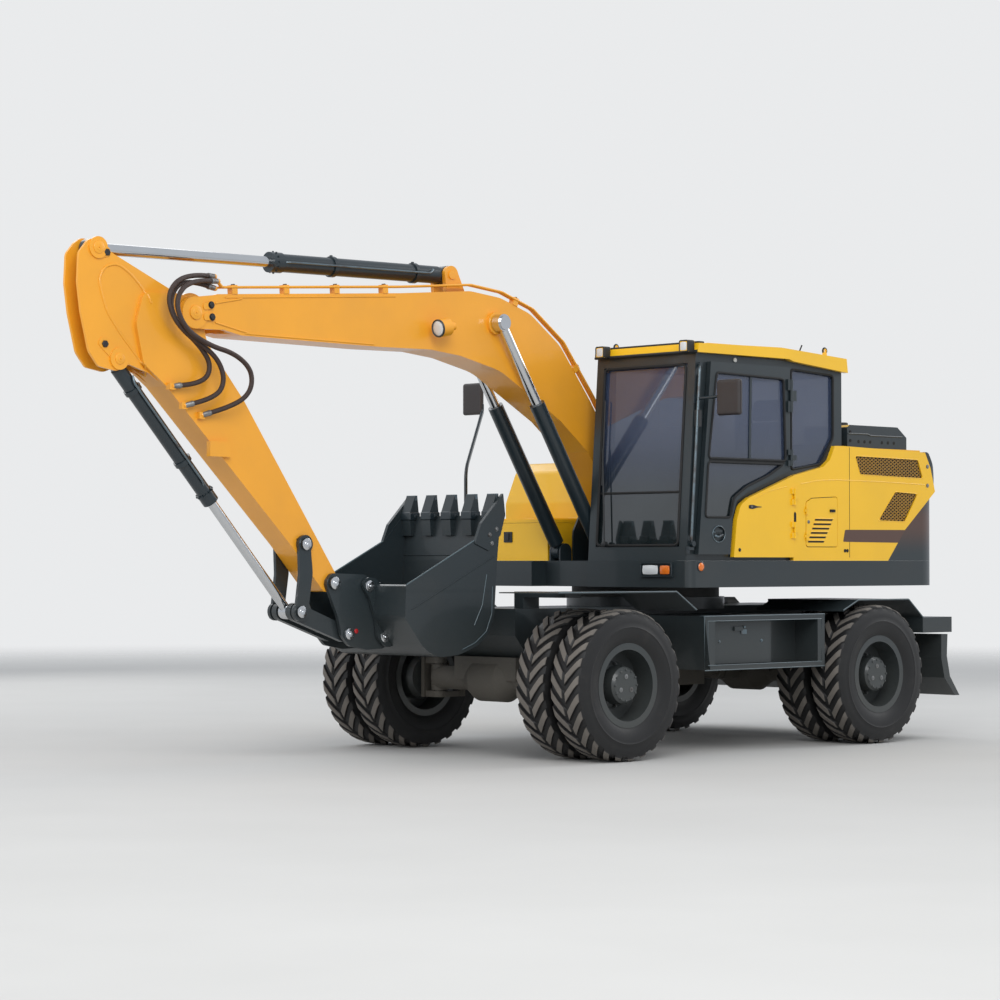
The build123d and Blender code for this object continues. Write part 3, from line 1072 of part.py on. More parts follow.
def bucket():
    """The bucket: a bent shell, side plates, side cutters, hinge ears in a pocket, and five teeth."""
    side = [(2651, 1209), (2011, 1517), (1830, 1700), (1765, 1700), (1800, 1385), (1826, 1010), (1880, 870),
            (1990, 790), (2161, 731), (2366, 716), (2490, 785), (2660, 990)]
    radii = [10, 0, 0, 0, 0, 280, 240, 280, 280, 240, 180, 80]
    low, high, wall = FRONT_Y - BUCKET_HALF, FRONT_Y + BUCKET_HALF, BUCKET_WALL
    ear_in = ARM_HALF + SIDE_GAP + COUPLER_WALL + SIDE_GAP
    ear_out = ear_in + 26
    inner = [(2631, 1300), (1900, 1950), (1786, 1950), (1786, 1690), (1821, 1385), (1847, 1012),
             (1896, 884),
             (2001, 810), (2165, 752), (2361, 737), (2478, 803), (2634, 1000)]
    inner_radii = [0, 0, 0, 0, 0, 240, 200, 240, 240, 200, 140, 60]
    cavity = slab(inner, low + wall, high - wall, radii=inner_radii)
    boss = [(2800, 1330), (2605, 1330), (2605, 1166), (2465, 846), (2465, 700), (2800, 700)]
    pocket = [(2800, 1330), (2625, 1330), (2625, 1170), (2485, 850), (2485, 700), (2800, 700)]
    cavity -= slab(boss, FRONT_Y - ear_out, FRONT_Y + ear_out)
    shell = slab(side, low, high, radii=radii) - cavity
    shell -= slab(pocket, FRONT_Y - ear_in, FRONT_Y + ear_in)
    ear = [(2768, 1215), (2725, 1268), (2650, 1262), (2612, 1228), (2612, 1168), (2473, 850), (2473, 792),
           (2560, 790), (2628, 850), (2640, 960), (2700, 1120)]
    cutter = [(2020, 1500), (1960, 1640), (1750, 1850), (1730, 1700), (1775, 1560), (1890, 1450)]
    for sign in (-1, 1):
        near, far = FRONT_Y + sign * ear_in, FRONT_Y + sign * ear_out
        plate = slab(ear, near, far, radii=[40, 50, 30, 0, 0, 0, 0, 40, 40, 60, 60])
        edge = FRONT_Y + sign * BUCKET_HALF
        shell += plate + slab(cutter, edge - sign * 16, edge + sign * 10)
    tooth = [(1830, 1560), (1842, 1720), (1790, 1850), (1770, 1850), (1752, 1700), (1765, 1560)]
    for place in range(-2, 3):
        y = FRONT_Y + place * TOOTH_PITCH
        shell += slab(tooth, y - TOOTH_WIDTH / 2, y + TOOTH_WIDTH / 2)
    for pin in (BUCKET_PIN_UPPER, BUCKET_PIN_LOWER):
        shell -= disc(pin, PIN_RADIUS + RUNNING_FIT, FRONT_Y - ear_out - 1, FRONT_Y + ear_out + 1)
    return shell


NODES["guide_levers"] = guide_levers()
NODES["bucket_link"] = [link()]
NODES["coupler"] = [coupler()]
NODES["bucket"] = [bucket()]

# The finished pieces are moved so that the origin is under the middle of the machine
whole = Compound(children=[shape for shapes in NODES.values() for shape in shapes])
bounds = whole.bounding_box()
MIDDLE_X = (bounds.min.X + bounds.max.X) / 2

if __name__ == "__main__":
    os.makedirs("parts", exist_ok=True)
    for name, shapes in NODES.items():
        solids = [solid for shape in shapes for solid in shape.solids()]
        moved = Pos(-MIDDLE_X, 0, 0) * Compound(label=name, children=solids)
        export_step(moved, f"parts/{name}.step")
    print("nodes", len(NODES), "length", round(bounds.size.X), "width", round(bounds.size.Y),
          "height", round(bounds.size.Z), "middle", round(MIDDLE_X, 2))
    for name, (radii, length, section) in hose_facts.items():
        print(name, "arc radii", radii, "length", length, "mean section", section)
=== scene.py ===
"""The looks of a wheeled excavator, laid out as an add-on and run as a script."""

import json
import math

import bpy
import numpy as np
from mathutils import Matrix, Vector
from mathutils.bvhtree import BVHTree

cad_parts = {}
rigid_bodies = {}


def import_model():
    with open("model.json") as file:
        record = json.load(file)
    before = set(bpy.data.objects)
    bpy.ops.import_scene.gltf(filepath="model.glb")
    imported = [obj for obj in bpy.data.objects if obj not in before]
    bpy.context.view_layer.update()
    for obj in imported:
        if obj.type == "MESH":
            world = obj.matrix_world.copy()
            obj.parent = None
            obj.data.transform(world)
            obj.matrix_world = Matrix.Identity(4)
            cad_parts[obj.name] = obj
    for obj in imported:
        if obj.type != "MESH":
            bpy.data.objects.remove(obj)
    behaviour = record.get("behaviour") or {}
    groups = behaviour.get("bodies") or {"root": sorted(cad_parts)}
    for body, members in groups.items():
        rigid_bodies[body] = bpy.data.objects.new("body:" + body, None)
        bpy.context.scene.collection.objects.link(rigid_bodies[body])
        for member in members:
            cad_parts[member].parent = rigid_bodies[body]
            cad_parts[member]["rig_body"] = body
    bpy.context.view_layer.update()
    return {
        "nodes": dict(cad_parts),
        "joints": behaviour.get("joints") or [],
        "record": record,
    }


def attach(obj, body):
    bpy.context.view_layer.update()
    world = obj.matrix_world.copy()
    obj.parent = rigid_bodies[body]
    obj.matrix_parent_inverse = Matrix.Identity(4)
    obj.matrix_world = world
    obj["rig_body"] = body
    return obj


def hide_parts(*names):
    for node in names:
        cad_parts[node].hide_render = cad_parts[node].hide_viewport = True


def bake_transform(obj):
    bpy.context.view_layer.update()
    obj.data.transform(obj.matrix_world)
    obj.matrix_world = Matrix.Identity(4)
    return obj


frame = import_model()

bl_info = {
    "name": "Wheeled excavator",
    "version": (1, 0, 0),
    "blender": (4, 5, 0),
    "location": "3D View > Sidebar > Excavator",
    "description": "Dresses the packed excavator with its finishes, treads, lamps, hoses and seat",
    "category": "Object",
}

# Places in metres from the middle of the wheelbase: the axles, the twin tyres, the middle of the boom
# and the bucket, and the face of the side covers
AXLE_X, AXLE_Z = 1.375, 0.524
AXLES = (("front", AXLE_X), ("rear", -AXLE_X))
TWIN_Y = (0.864, 1.202)
FRONT_Y = -0.030
COVER_Y = 1.2695
SIDE = {1: "left", -1: "right"}

# The pack moves the model forward or back so that its middle is at X = 0
KINGPIN = next(joint for joint in frame["joints"] if joint["name"] == "steer_left")["pos_m"]
SHIFT = AXLE_X - float(KINGPIN[0])


def at(x, y, z):
    """A point given from the middle of the wheelbase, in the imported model's frame."""
    return np.array((x - SHIFT, y, z), float)


def linear(code):
    """A colour written as six hex digits, as linear red, green, blue and a full alpha."""
    parts = [int(code[i:i + 2], 16) / 255 for i in (0, 2, 4)]
    parts = [c / 12.92 if c <= 0.04045 else ((c + 0.055) / 1.055) ** 2.4 for c in parts]
    return (*parts, 1.0)


def shade(tone, share):
    """A darker tone of a colour, with its alpha full."""
    return (*(part * share for part in tone[:3]), 1)


def unit(vector):
    """A vector of length 1 that points the same way."""
    return np.asarray(vector, float) / np.linalg.norm(vector)


# Shader maths
class Value:
    """A socket whose operators add the Math nodes of an expression."""

    def __init__(self, finish, socket):
        self.finish, self.socket = finish, socket

    def math(self, operation, first, second=0.0):
        return self.finish.node("ShaderNodeMath", {"operation": operation}, (first, second))

    def __add__(self, other):
        return self.math("ADD", self, other)

    __radd__ = __add__

    def __mul__(self, other):
        return self.math("MULTIPLY", self, other)

    __rmul__ = __mul__

    def __sub__(self, other):
        return self.math("SUBTRACT", self, other)

    def __rsub__(self, other):
        return self.math("SUBTRACT", other, self)

    def sine(self):
        return self.math("SINE", self)

    def clamped(self):
        return self.math("MAXIMUM", self.math("MINIMUM", self, 1.0), 0.0)

    def step(self, low, high):
        """0 below low, 1 above high and smooth between."""
        return self.finish.node("ShaderNodeMapRange", {"interpolation_type": "SMOOTHSTEP", "clamp": True},
                                (self, low, high, 0.0, 1.0))


class Finish:
    """A material whose nodes are added by one method."""

    def __init__(self, name):
        self.material = bpy.data.materials.new(name)
        self.material.use_nodes = True
        self.tree = self.material.node_tree
        self.shader = next(n for n in self.tree.nodes if n.type == "BSDF_PRINCIPLED")

    def node(self, kind, settings=(), values=(), output=0):
        """A node of that kind, with its settings first and then its sockets' values or links."""
        made = self.tree.nodes.new(kind)
        for name, value in dict(settings).items():
            setattr(made, name, value)
        pairs = values.items() if isinstance(values, dict) else enumerate(values)
        for key, value in pairs:
            if isinstance(value, Value):
                self.tree.links.new(value.socket, made.inputs[key])
            else:
                made.inputs[key].default_value = value
        return Value(self, made.outputs[output])

    def place(self, scale=(1, 1, 1)):
        """The point's place on the object, scaled."""
        here = self.node("ShaderNodeTexCoord", output=3)
        return self.node("ShaderNodeMapping", values={0: here, 3: scale})

    def axes(self):
        """The three numbers of the point's place on the object."""
        split = self.tree.nodes.new("ShaderNodeSeparateXYZ")
        self.tree.links.new(self.place().socket, split.inputs[0])
        return [Value(self, socket) for socket in split.outputs]

    def noise(self, scale, detail=3.0, rough=0.5, point=None):
        values = {0: point or self.place(), 2: scale, 3: detail, 4: rough}
        return self.node("ShaderNodeTexNoise", values=values)

    def cells(self, scale):
        return self.node("ShaderNodeTexVoronoi", values={0: self.place(), 2: scale})

    def mix(self, mask, first, second):
        """The first colour where the mask is 0 and the second where it is 1."""
        return self.node("ShaderNodeMix", {"data_type": "RGBA"}, {0: mask, 6: first, 7: second}, output=2)

    def bump(self, height, distance, strength):
        return self.node("ShaderNodeBump", values={0: strength, 1: distance, 3: height})

    def orange_peel(self):
        """The fine unevenness of sprayed paint."""
        return self.bump(self.noise(420.0, 2.0), 0.0002, 0.5)

    def put(self, **sockets):
        """Sets the shader's own sockets, by their names with underscores for spaces."""
        for name, value in sockets.items():
            socket = self.shader.inputs[name.replace("_", " ")]
            if isinstance(value, Value):
                self.tree.links.new(value.socket, socket)
            else:
                socket.default_value = value
        return self.material


def paint(name, colour, deep, rough, dust, coat=0.3):
    """Sprayed paint: a slow change of tone, orange peel, and dust that settles low and in patches."""
    f = Finish(name)
    z = f.axes()[2]
    tone = f.noise(1.7, 4.0)
    fine = f.noise(38.0, 5.0, 0.65)
    low = (1.0 - z.step(0.1, 1.5)) * dust
    dirt = (low + fine.step(0.55, 0.8) * dust * 0.35 + tone.step(0.5, 0.8) * dust * 0.3).clamped()
    base = f.mix(tone.step(0.3, 0.75) * 0.45, colour, deep)
    base = f.mix(dirt, base, linear("8d8578"))
    return f.put(Base_Color=base, Roughness=(dirt * 0.45 + tone * 0.06 + rough).clamped(),
                 Normal=f.orange_peel(), Coat_Weight=(coat - dirt * coat).clamped(), Coat_Roughness=0.08)


def faded(name, low, high):
    """Paint that changes with height from one colour into another and back, with orange peel."""
    f = Finish(name)
    z = f.axes()[2]
    tone = f.noise(1.7, 4.0)
    base = f.mix(z.step(1.42, 1.66) * (1.0 - z.step(1.72, 1.86)) * 0.8, low, high)
    return f.put(Base_Color=base, Roughness=(tone * 0.12 + 0.34).clamped(), Normal=f.orange_peel(),
                 Coat_Weight=0.25, Coat_Roughness=0.08)


def rubber(name, colour, dusty, dust):
    """Moulded rubber: matt black with pale dust in patches and a fine grain."""
    f = Finish(name)
    patch = f.noise(6.0, 5.0, 0.6).step(0.42, 0.78)
    grain = f.noise(260.0, 3.0)
    base = f.mix(patch * dust, colour, dusty)
    return f.put(Base_Color=base, Roughness=(patch * 0.15 + 0.72).clamped(),
                 Normal=f.bump(grain, 0.0006, 0.6))


def tread_rubber(name, colour, dusty):
    """Tyre rubber by the mesh's own raised value: dusty block tops, black grooves and a clean side wall."""
    f = Finish(name)
    raised = f.node("ShaderNodeAttribute", {"attribute_name": "raised"}, output=2)
    patch = f.noise(7.0, 5.0, 0.6)
    top = raised.step(0.55, 0.98) * (patch * 0.5 + 0.55)
    groove = f.mix(patch.step(0.5, 0.8) * 0.25, colour, linear("3a3733"))
    grain = f.noise(260.0, 3.0)
    return f.put(Base_Color=f.mix(top.clamped(), groove, dusty), Roughness=(top * 0.3 + 0.55).clamped(),
                 Normal=f.bump(grain, 0.0006, 0.6))


def guard(name, colour, light):
    """A woven hose sleeve: the product of two crossed waves, rubbed lighter in patches."""
    f = Finish(name)
    x, y, z = f.axes()
    weave = ((z + x) * 1400.0).sine() * ((z - x) * 1400.0).sine()
    rub = f.noise(22.0, 4.0)
    base = f.mix((rub * 0.6 + weave * 0.2).clamped(), colour, light)
    return f.put(Base_Color=base, Roughness=0.5, Normal=f.bump(weave, 0.0008, 0.5))


def plated(name):
    """Hard chrome with a fine grain and a film of oil."""
    f = Finish(name)
    film = f.noise(9.0, 3.0)
    return f.put(Base_Color=f.mix(film * 0.3, linear("d8dadc"), linear("a9abad")), Metallic=1.0,
                 Roughness=(film * 0.12 + 0.08).clamped(),
                 Normal=f.bump(f.noise(300.0), 0.00005, 0.4))


def bare_steel(name, colour="8b8c8c", rough=0.38):
    """Worn steel with scratches and a slight stain."""
    f = Finish(name)
    stain = f.noise(14.0, 4.0)
    scratch = f.noise(1.0, 2.0, 0.6, f.place(scale=(40, 900, 900)))
    return f.put(Base_Color=f.mix(stain.step(0.4, 0.8), linear(colour), linear("5a5350")), Metallic=0.85,
                 Roughness=(stain * 0.25 + rough).clamped(), Normal=f.bump(scratch, 0.0001, 0.5))


def pane(name, high="3f4a66", low="0c1415"):
    """Tinted glass with painted light: a painted sky reflection makes it violet-blue and clearer above, and
    painted shade makes it nearly black below the sill, with a film of dust.
    """
    f = Finish(name)
    film = f.noise(2.5, 4.0)
    # Painted light by height: a painted sky reflection on the upper glass and painted shade on the glass
    # below the sill
    painted_sky_mask = f.axes()[2].step(1.75, 2.45)
    tint_and_painted_light = f.mix(painted_sky_mask, linear(low), linear(high))
    return f.put(Base_Color=f.mix(film * 0.12, tint_and_painted_light, linear("6d7a80")),
                 Roughness=(film * 0.04 + 0.02).clamped(),
                 Alpha=(film * 0.05 + 0.93 - painted_sky_mask * 0.33).clamped(),
                 Specular_IOR_Level=0.8, Coat_Weight=1.0, Coat_Roughness=0.02)


def plastic(name, colour="17191b", rough=0.5):
    """Moulded plastic with a leather-like grain."""
    f = Finish(name)
    grain = f.cells(600.0)
    wear = f.noise(7.0, 4.0)
    return f.put(Base_Color=f.mix(wear * 0.35, linear(colour), linear("3c3f42")),
                 Roughness=(wear * 0.15 + rough).clamped(), Normal=f.bump(grain, 0.0003, 0.5))


def cloth(name, colour="25272a", light="3a3d42"):
    """Woven seat cloth: crossed threads as two sine waves, with a melange tone."""
    f = Finish(name)
    x, y, z = f.axes()
    threads = ((x + z) * 2600.0).sine() * (y * 2600.0).sine()
    tone = f.noise(50.0, 4.0)
    return f.put(Base_Color=f.mix((threads * 0.3 + tone * 0.7).clamped(), linear(colour), linear(light)),
                 Roughness=0.92, Sheen_Weight=0.25, Normal=f.bump(threads, 0.0006, 0.8))


def glass_lens(name, colour, painted_glow):
    """A moulded lens: fluted in two directions, glossy and slightly uneven in tone, with a faint painted glow
    in its own colour.
    """
    f = Finish(name)
    x, y, z = f.axes()
    flutes = (y * 900.0).sine() * 0.5 + (z * 900.0).sine() * 0.5
    base = f.mix((flutes * 0.25 + 0.3).clamped(), linear(colour), shade(linear(colour), 0.6))
    # Painted glow: the emission lights the lens faintly in its own colour, also where it is a reflector or a
    # mark
    return f.put(Base_Color=base, Roughness=0.12, Coat_Weight=0.6, Normal=f.bump(flutes, 0.0006, 0.6),
                 Emission_Color=linear(colour), Emission_Strength=painted_glow)


def iron(name):
    """Rough cast iron with oil stains."""
    f = Finish(name)
    stain = f.noise(5.0, 5.0)
    return f.put(Base_Color=f.mix(stain, linear("2c2d2e"), linear("4c4a46")),
                 Roughness=(stain * 0.2 + 0.55).clamped(),
                 Normal=f.bump(f.noise(220.0, 4.0), 0.0012, 0.7))


# Surfaces
def mesh_from(name, points, faces, smooth=30):
    """A mesh object from arrays of points and of faces with four or three corners each."""
    mesh = bpy.data.meshes.new(name)
    mesh.from_pydata(np.asarray(points, float).tolist(), [], [list(map(int, face)) for face in faces])
    mesh.validate()
    if smooth:
        mesh.shade_smooth()
        mesh.set_sharp_from_angle(angle=math.radians(smooth))
    made = bpy.data.objects.new(name, mesh)
    bpy.context.scene.collection.objects.link(made)
    return made


def grid_faces(rows, columns, closed_rows=False, closed_columns=False):
    """The quads of a grid of rows by columns, joined round where it is closed."""
    r = np.arange(rows if closed_rows else rows - 1)
    c = np.arange(columns if closed_columns else columns - 1)
    r, c = np.meshgrid(r, c, indexing="ij")
    r2, c2 = (r + 1) % rows, (c + 1) % columns
    quads = np.stack([r * columns + c, r2 * columns + c, r2 * columns + c2, r * columns + c2], -1)
    return quads.reshape(-1, 4)


def joined(parts):
    """Several (points, faces) pairs as one."""
    points, faces, start = [], [], 0
    for p, f in parts:
        points.append(np.asarray(p, float).reshape(-1, 3))
        faces.extend([int(i) + start for i in face] for face in f)
        start += len(points[-1])
    return np.concatenate(points), faces


def turned(profile, centre, axis, sides=32):
    """A profile of (along, radius) points turned about an axis, closed with a fan at each end.

    point = centre + axis * along + radius * (cos(angle) * u + sin(angle) * v)."""
    axis, centre, p = unit(axis), np.asarray(centre), np.asarray(profile, float)
    u = unit(np.cross(axis, (0, 0, 1.0) if abs(axis[2]) < 0.9 else (1.0, 0, 0)))
    v = np.cross(axis, u)
    a = np.linspace(0, 2 * math.pi, sides, endpoint=False)
    ring = np.cos(a)[:, None] * u + np.sin(a)[:, None] * v
    points = centre + p[:, None, 0, None] * axis + p[:, None, 1, None] * ring[None]
    faces = grid_faces(len(p), sides, closed_columns=True)[:, ::-1].tolist()
    ends = [centre + p[0, 0] * axis, centre + p[-1, 0] * axis]
    points = np.concatenate([points.reshape(-1, 3), ends])
    first, last = len(points) - 2, len(points) - 1
    ring_at = (len(p) - 1) * sides
    faces += [[first, (i + 1) % sides, i] for i in range(sides)]
    faces += [[last, ring_at + i, ring_at + (i + 1) % sides] for i in range(sides)]
    return points, faces


def bolt(centre, axis, size, height):
    """A hexagon head on a washer: six-sided and round profiles turned about the bolt's axis."""
    washer = turned([(0, size * 1.25), (height * 0.2, size * 1.25)], centre, axis, 12)
    head = turned([(height * 0.2, size), (height * 0.85, size), (height, size * 0.82)], centre, axis, 6)
    return [washer, head]


def boxed(low, high):
    """The points and faces of a box between two corners."""
    x0, y0, z0 = np.minimum(low, high)
    x1, y1, z1 = np.maximum(low, high)
    points = [(x, y, z) for z in (z0, z1) for x, y in rectangle(x0, x1, y0, y1)]
    faces = [(0, 3, 2, 1), (4, 5, 6, 7), (0, 1, 5, 4), (1, 2, 6, 5), (2, 3, 7, 6), (3, 0, 4, 7)]
    return points, faces


def plate(outline, y0, y1):
    """An outline of (x, z) points carried from y0 to y1, closed by its two faces."""
    xz = turned_left(outline)
    n = len(xz)
    near, far = sorted((y0, y1))
    points = [(x, y, z) for y in (near, far) for x, z in xz]
    faces = [list(range(n)), list(range(2 * n - 1, n - 1, -1))]
    faces += [[(i + 1) % n, i, n + i, n + (i + 1) % n] for i in range(n)]
    return points, faces


def tube(path, radius, sides=12):
    """A round section carried along a path: each ring stands square to the path's direction there."""
    path = np.asarray(path, float)
    ahead = np.gradient(path, axis=0)
    ahead /= np.linalg.norm(ahead, axis=1)[:, None]
    side = np.cross(ahead, (0.3, 0.2, 0.93))
    side /= np.linalg.norm(side, axis=1)[:, None]
    up = np.cross(ahead, side)
    a = np.linspace(0, 2 * math.pi, sides, endpoint=False)[:, None]
    points = path[:, None] + radius * (np.cos(a) * side[:, None] + np.sin(a) * up[:, None])
    faces = grid_faces(len(path), sides, closed_columns=True)[:, ::-1].tolist()
    last = (len(path) - 1) * sides
    faces += [list(range(sides)), list(range(last, last + sides))[::-1]]
    return points.reshape(-1, 3), faces


def bend(before, corner, after, radius, share, steps):
    """The points of one rounded corner, which takes at most a share of each of its two sides.

    point = (1 - t)^2 * start + 2 * t * (1 - t) * corner + t^2 * end, with t from 0 to 1."""
    a, b = before - corner, after - corner
    cut = min(radius, share * np.linalg.norm(a), share * np.linalg.norm(b))
    start, end = corner + unit(a) * cut, corner + unit(b) * cut
    t = np.linspace(0, 1, steps)[:, None]
    return (1 - t) ** 2 * start + 2 * t * (1 - t) * corner + t * t * end


def rounded(points, radius, steps=6):
    """An open path with its corners rounded."""
    points = [np.asarray(p, float) for p in points]
    path = [points[0]]
    for before, corner, after in zip(points, points[1:], points[2:]):
        path.extend(bend(before, corner, after, radius, 0.45, steps))
    return np.array(path + [points[-1]])


def closed(points, radius, steps=5):
    """A closed outline with its corners rounded."""
    p = np.asarray(points, float)
    corners = zip(np.roll(p, 1, 0), p, np.roll(p, -1, 0))
    return np.concatenate([bend(*corner, radius + 1e-6, 0.48, steps) for corner in corners])


def turned_left(outline):
    """An outline of points whose inside lies on the left of its way round."""
    p = np.asarray(outline, float)
    area = np.sum(p[:, 0] * np.roll(p[:, 1], -1) - np.roll(p[:, 0], -1) * p[:, 1])
    return p if area > 0 else p[::-1]


def inset(outline, width):
    """An outline moved inwards.

    point + width * (n1 + n2) / (1 + n1 . n2), where n1 and n2 are its two sides' inward normals."""
    p = turned_left(outline)
    side = np.roll(p, -1, 0) - p
    side /= np.linalg.norm(side, axis=1)[:, None] + 1e-12
    after = np.stack([-side[:, 1], side[:, 0]], 1)
    before = np.roll(after, 1, 0)
    share = 1 + np.sum(after * before, 1)
    return p + width * (after + before) / np.maximum(share, 0.3)[:, None]


def lattice(outline, y0, y1, pitch_x, pitch_z, width):
    """Crossed bars inside an outline, each cut where it leaves the outline's sides."""
    p = inset(outline, 0.001)
    side = np.roll(p, -1, 0) - p
    normal = np.stack([-side[:, 1], side[:, 0]], 1)
    parts = []
    for slope in (1, -1):
        way = unit((pitch_x, slope * pitch_z))
        across = np.array((-way[1], way[0]))
        reach = p @ across
        pitch = pitch_x * pitch_z / math.hypot(pitch_x, pitch_z)
        for k in range(int(reach.min() / pitch), int(reach.max() / pitch) + 2):
            start = across * k * pitch
            speed, room = normal @ way, np.sum(normal * (p - start), 1)
            level = np.abs(speed) < 1e-9
            if np.any(level & (room > 0)):
                continue
            t = room[~level] / speed[~level]
            entering = speed[~level] > 0
            low, high = t[entering].max(), t[~entering].min()
            if high - low > width:
                a, b, half = start + way * low, start + way * high, across * width / 2
                parts.append(plate([a - half, b - half, b + half, a + half], y0, y1))
    return parts


def ridge(path, radius):
    """A weld bead or a raised edge: a thin tube along a path."""
    return tube(rounded(path, radius * 4, 4), radius, 8)


# Places on the CAD's faces
TREES = {}


def meets(node, start, way):
    """Where a ray from a point first meets a CAD node, or None."""
    if node not in TREES:
        solid = frame["nodes"][node]
        corners = [solid.matrix_world @ v.co for v in solid.data.vertices]
        faces = [tuple(p.vertices) for p in solid.data.polygons]
        TREES[node] = BVHTree.FromPolygons(corners, faces)
    hit = TREES[node].ray_cast(Vector(start), Vector(way))[0]
    return None if hit is None else np.array(hit)


def on_side(node, x, z, sign=1, lift=0.0):
    """A node's outermost point beside (x, z), raised from it by lift."""
    start = at(x, sign * 3.0, z)
    hit = meets(node, start, (0, -sign, 0))
    return at(x, 0, z) if hit is None else hit + np.array((0, sign * lift, 0))


def bolts_on(node, places, sign=1, size=None):
    """Bolt heads on a node's side at (x, z) places."""
    size = size or bpy.context.scene.excavator_sizes.bolt_size
    heads = [bolt(on_side(node, x, z, sign, -0.001), (0, sign, 0), size, size * 0.7) for x, z in places]
    return [part for head in heads for part in head]


def outline_of(points):
    """An outline of (x, z) places given from the middle of the wheelbase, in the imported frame."""
    return np.asarray(points, float) - (SHIFT, 0)


def rectangle(x0, x1, z0, z1):
    """The four corners of an upright rectangle."""
    return [(x0, z0), (x1, z0), (x1, z1), (x0, z1)]


def loop(path, radius):
    """A thin tube along a path and back to its start."""
    return tube([*path, path[0]], radius, 8)


def mirror_glass(x, y, z, half_y, half_z):
    """A rounded plate, 3 mm thick, whose face looks along -X."""
    outline = closed(rectangle(y - half_y, y + half_y, z - half_z, z + half_z), 0.02)
    n = len(outline)
    points = [(place, a, b) for place in (x, x + 0.003) for a, b in outline]
    faces = [list(range(n))[::-1], list(range(n, 2 * n))]
    faces += [[i, (i + 1) % n, n + (i + 1) % n, n + i] for i in range(n)]
    return points, faces


def rounded_block(half, corner, step):
    """A box centred on the origin with rounded edges, as one closed grid.

    For each point p of a plain box, q is p held within the box less the corner's radius, and the
    new point is q + radius * (p - q) / |p - q|."""
    half = np.asarray(half, float)
    all_points, all_faces, start = [], [], 0
    for axis in range(3):
        u, v = (axis + 1) % 3, (axis + 2) % 3
        for sign in (1, -1):
            lines = []
            for k in (u, v):
                inner = half[k] - corner
                middle = np.linspace(-inner, inner, max(2, int(2 * inner / step) + 1))
                bend = corner * np.tan(np.linspace(0, math.pi / 4, 5))[1:]
                lines.append(np.concatenate([-(inner + bend)[::-1], middle, inner + bend]))
            a, b = np.meshgrid(*lines, indexing="ij")
            p = np.zeros(a.shape + (3,))
            p[..., axis], p[..., u], p[..., v] = sign * half[axis], a, b
            faces = grid_faces(*a.shape)
            all_points.append(p.reshape(-1, 3))
            all_faces.append((faces if sign > 0 else faces[:, ::-1]) + start)
            start += a.size
    p = np.concatenate(all_points)
    q = np.clip(p, corner - half, half - corner)
    away = p - q
    p = q + corner * away / np.linalg.norm(away, axis=1)[:, None]
    unique, place = np.unique(np.round(p, 7), axis=0, return_inverse=True)
    return unique, place.reshape(-1)[np.concatenate(all_faces)]


def block_at(centre, half, corner, step=0.02):
    """A block with rounded edges at a place."""
    points, faces = rounded_block(half, corner, step)
    return points + np.asarray(centre), faces


def lens(centre, half_a, half_b, axis, dome=0.006):
    """A lamp lens: a rounded rectangle that swells outwards.

    height = dome * (1 - a^2) * (1 - b^2), where a and b run from -1 to 1 across it."""
    axis = np.asarray(axis, float)
    across = np.array((0, 1.0, 0)) if abs(axis[1]) < 0.5 else np.array((1.0, 0, 0))
    up = np.cross(axis, across)
    a = np.linspace(-1, 1, 15)
    u, v = np.meshgrid(a, a, indexing="ij")
    # A square's places drawn in at the corners
    wide, high = u * np.sqrt(1 - v * v * 0.16), v * np.sqrt(1 - u * u * 0.16)
    rise = dome * (1 - u ** 2) * (1 - v ** 2)
    flat = np.asarray(centre) + wide[..., None] * half_a * across + high[..., None] * half_b * up
    front, back = flat + rise[..., None] * axis, flat - 0.003 * axis
    n = len(a)
    grid = grid_faces(n, n)
    faces = grid.tolist() + (grid[:, ::-1] + n * n).tolist()
    edge = [i * n for i in range(n)] + [(n - 1) * n + j for j in range(1, n)]
    edge += [i * n + n - 1 for i in range(n - 2, -1, -1)] + list(range(n - 2, 0, -1))
    faces += [[j, i, i + n * n, j + n * n] for i, j in zip(edge, edge[1:] + edge[:1])]
    if np.dot(np.cross(across, up), axis) < 0:
        faces = [face[::-1] for face in faces]
    return np.concatenate([front.reshape(-1, 3), back.reshape(-1, 3)]), faces


def made_piece(name, parts, look, body, smooth=30, bevel=0.0):
    """One object from several shapes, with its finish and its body."""
    piece = mesh_from(name, *joined(parts), smooth=smooth)
    piece.data.materials.append(LOOK[look])
    if bevel:
        edge = piece.modifiers.new("edge", "BEVEL")
        edge.width, edge.segments, edge.limit_method = bevel, 2, "ANGLE"
        edge.angle_limit = math.radians(40)
    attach(piece, body)
    return piece


def body_of(node):
    """The body that a CAD node rides on."""
    return frame["nodes"][node]["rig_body"]


def dress(names, look):
    """Gives CAD nodes a finish in place of their plain one."""
    for name in names:
        for place in frame["nodes"][name].material_slots:
            place.material = LOOK[look]


# Finishes
LOOK = {}
SLOT_LOOKS = {"amber_paint": "amber", "yellow_paint": "yellow", "charcoal_paint": "charcoal",
              "axle_paint": "axle", "rim_paint": "rim", "black_paint": "black", "chrome": "chrome",
              "tyre": "tyre", "glass": "glass", "seat_fabric": "cloth", "black_plastic": "plastic",
              "engine_iron": "iron", "hose_rubber": "hose"}


def colour(name):
    """A colour from the panel."""
    return tuple(getattr(bpy.context.scene.excavator_colours, name))


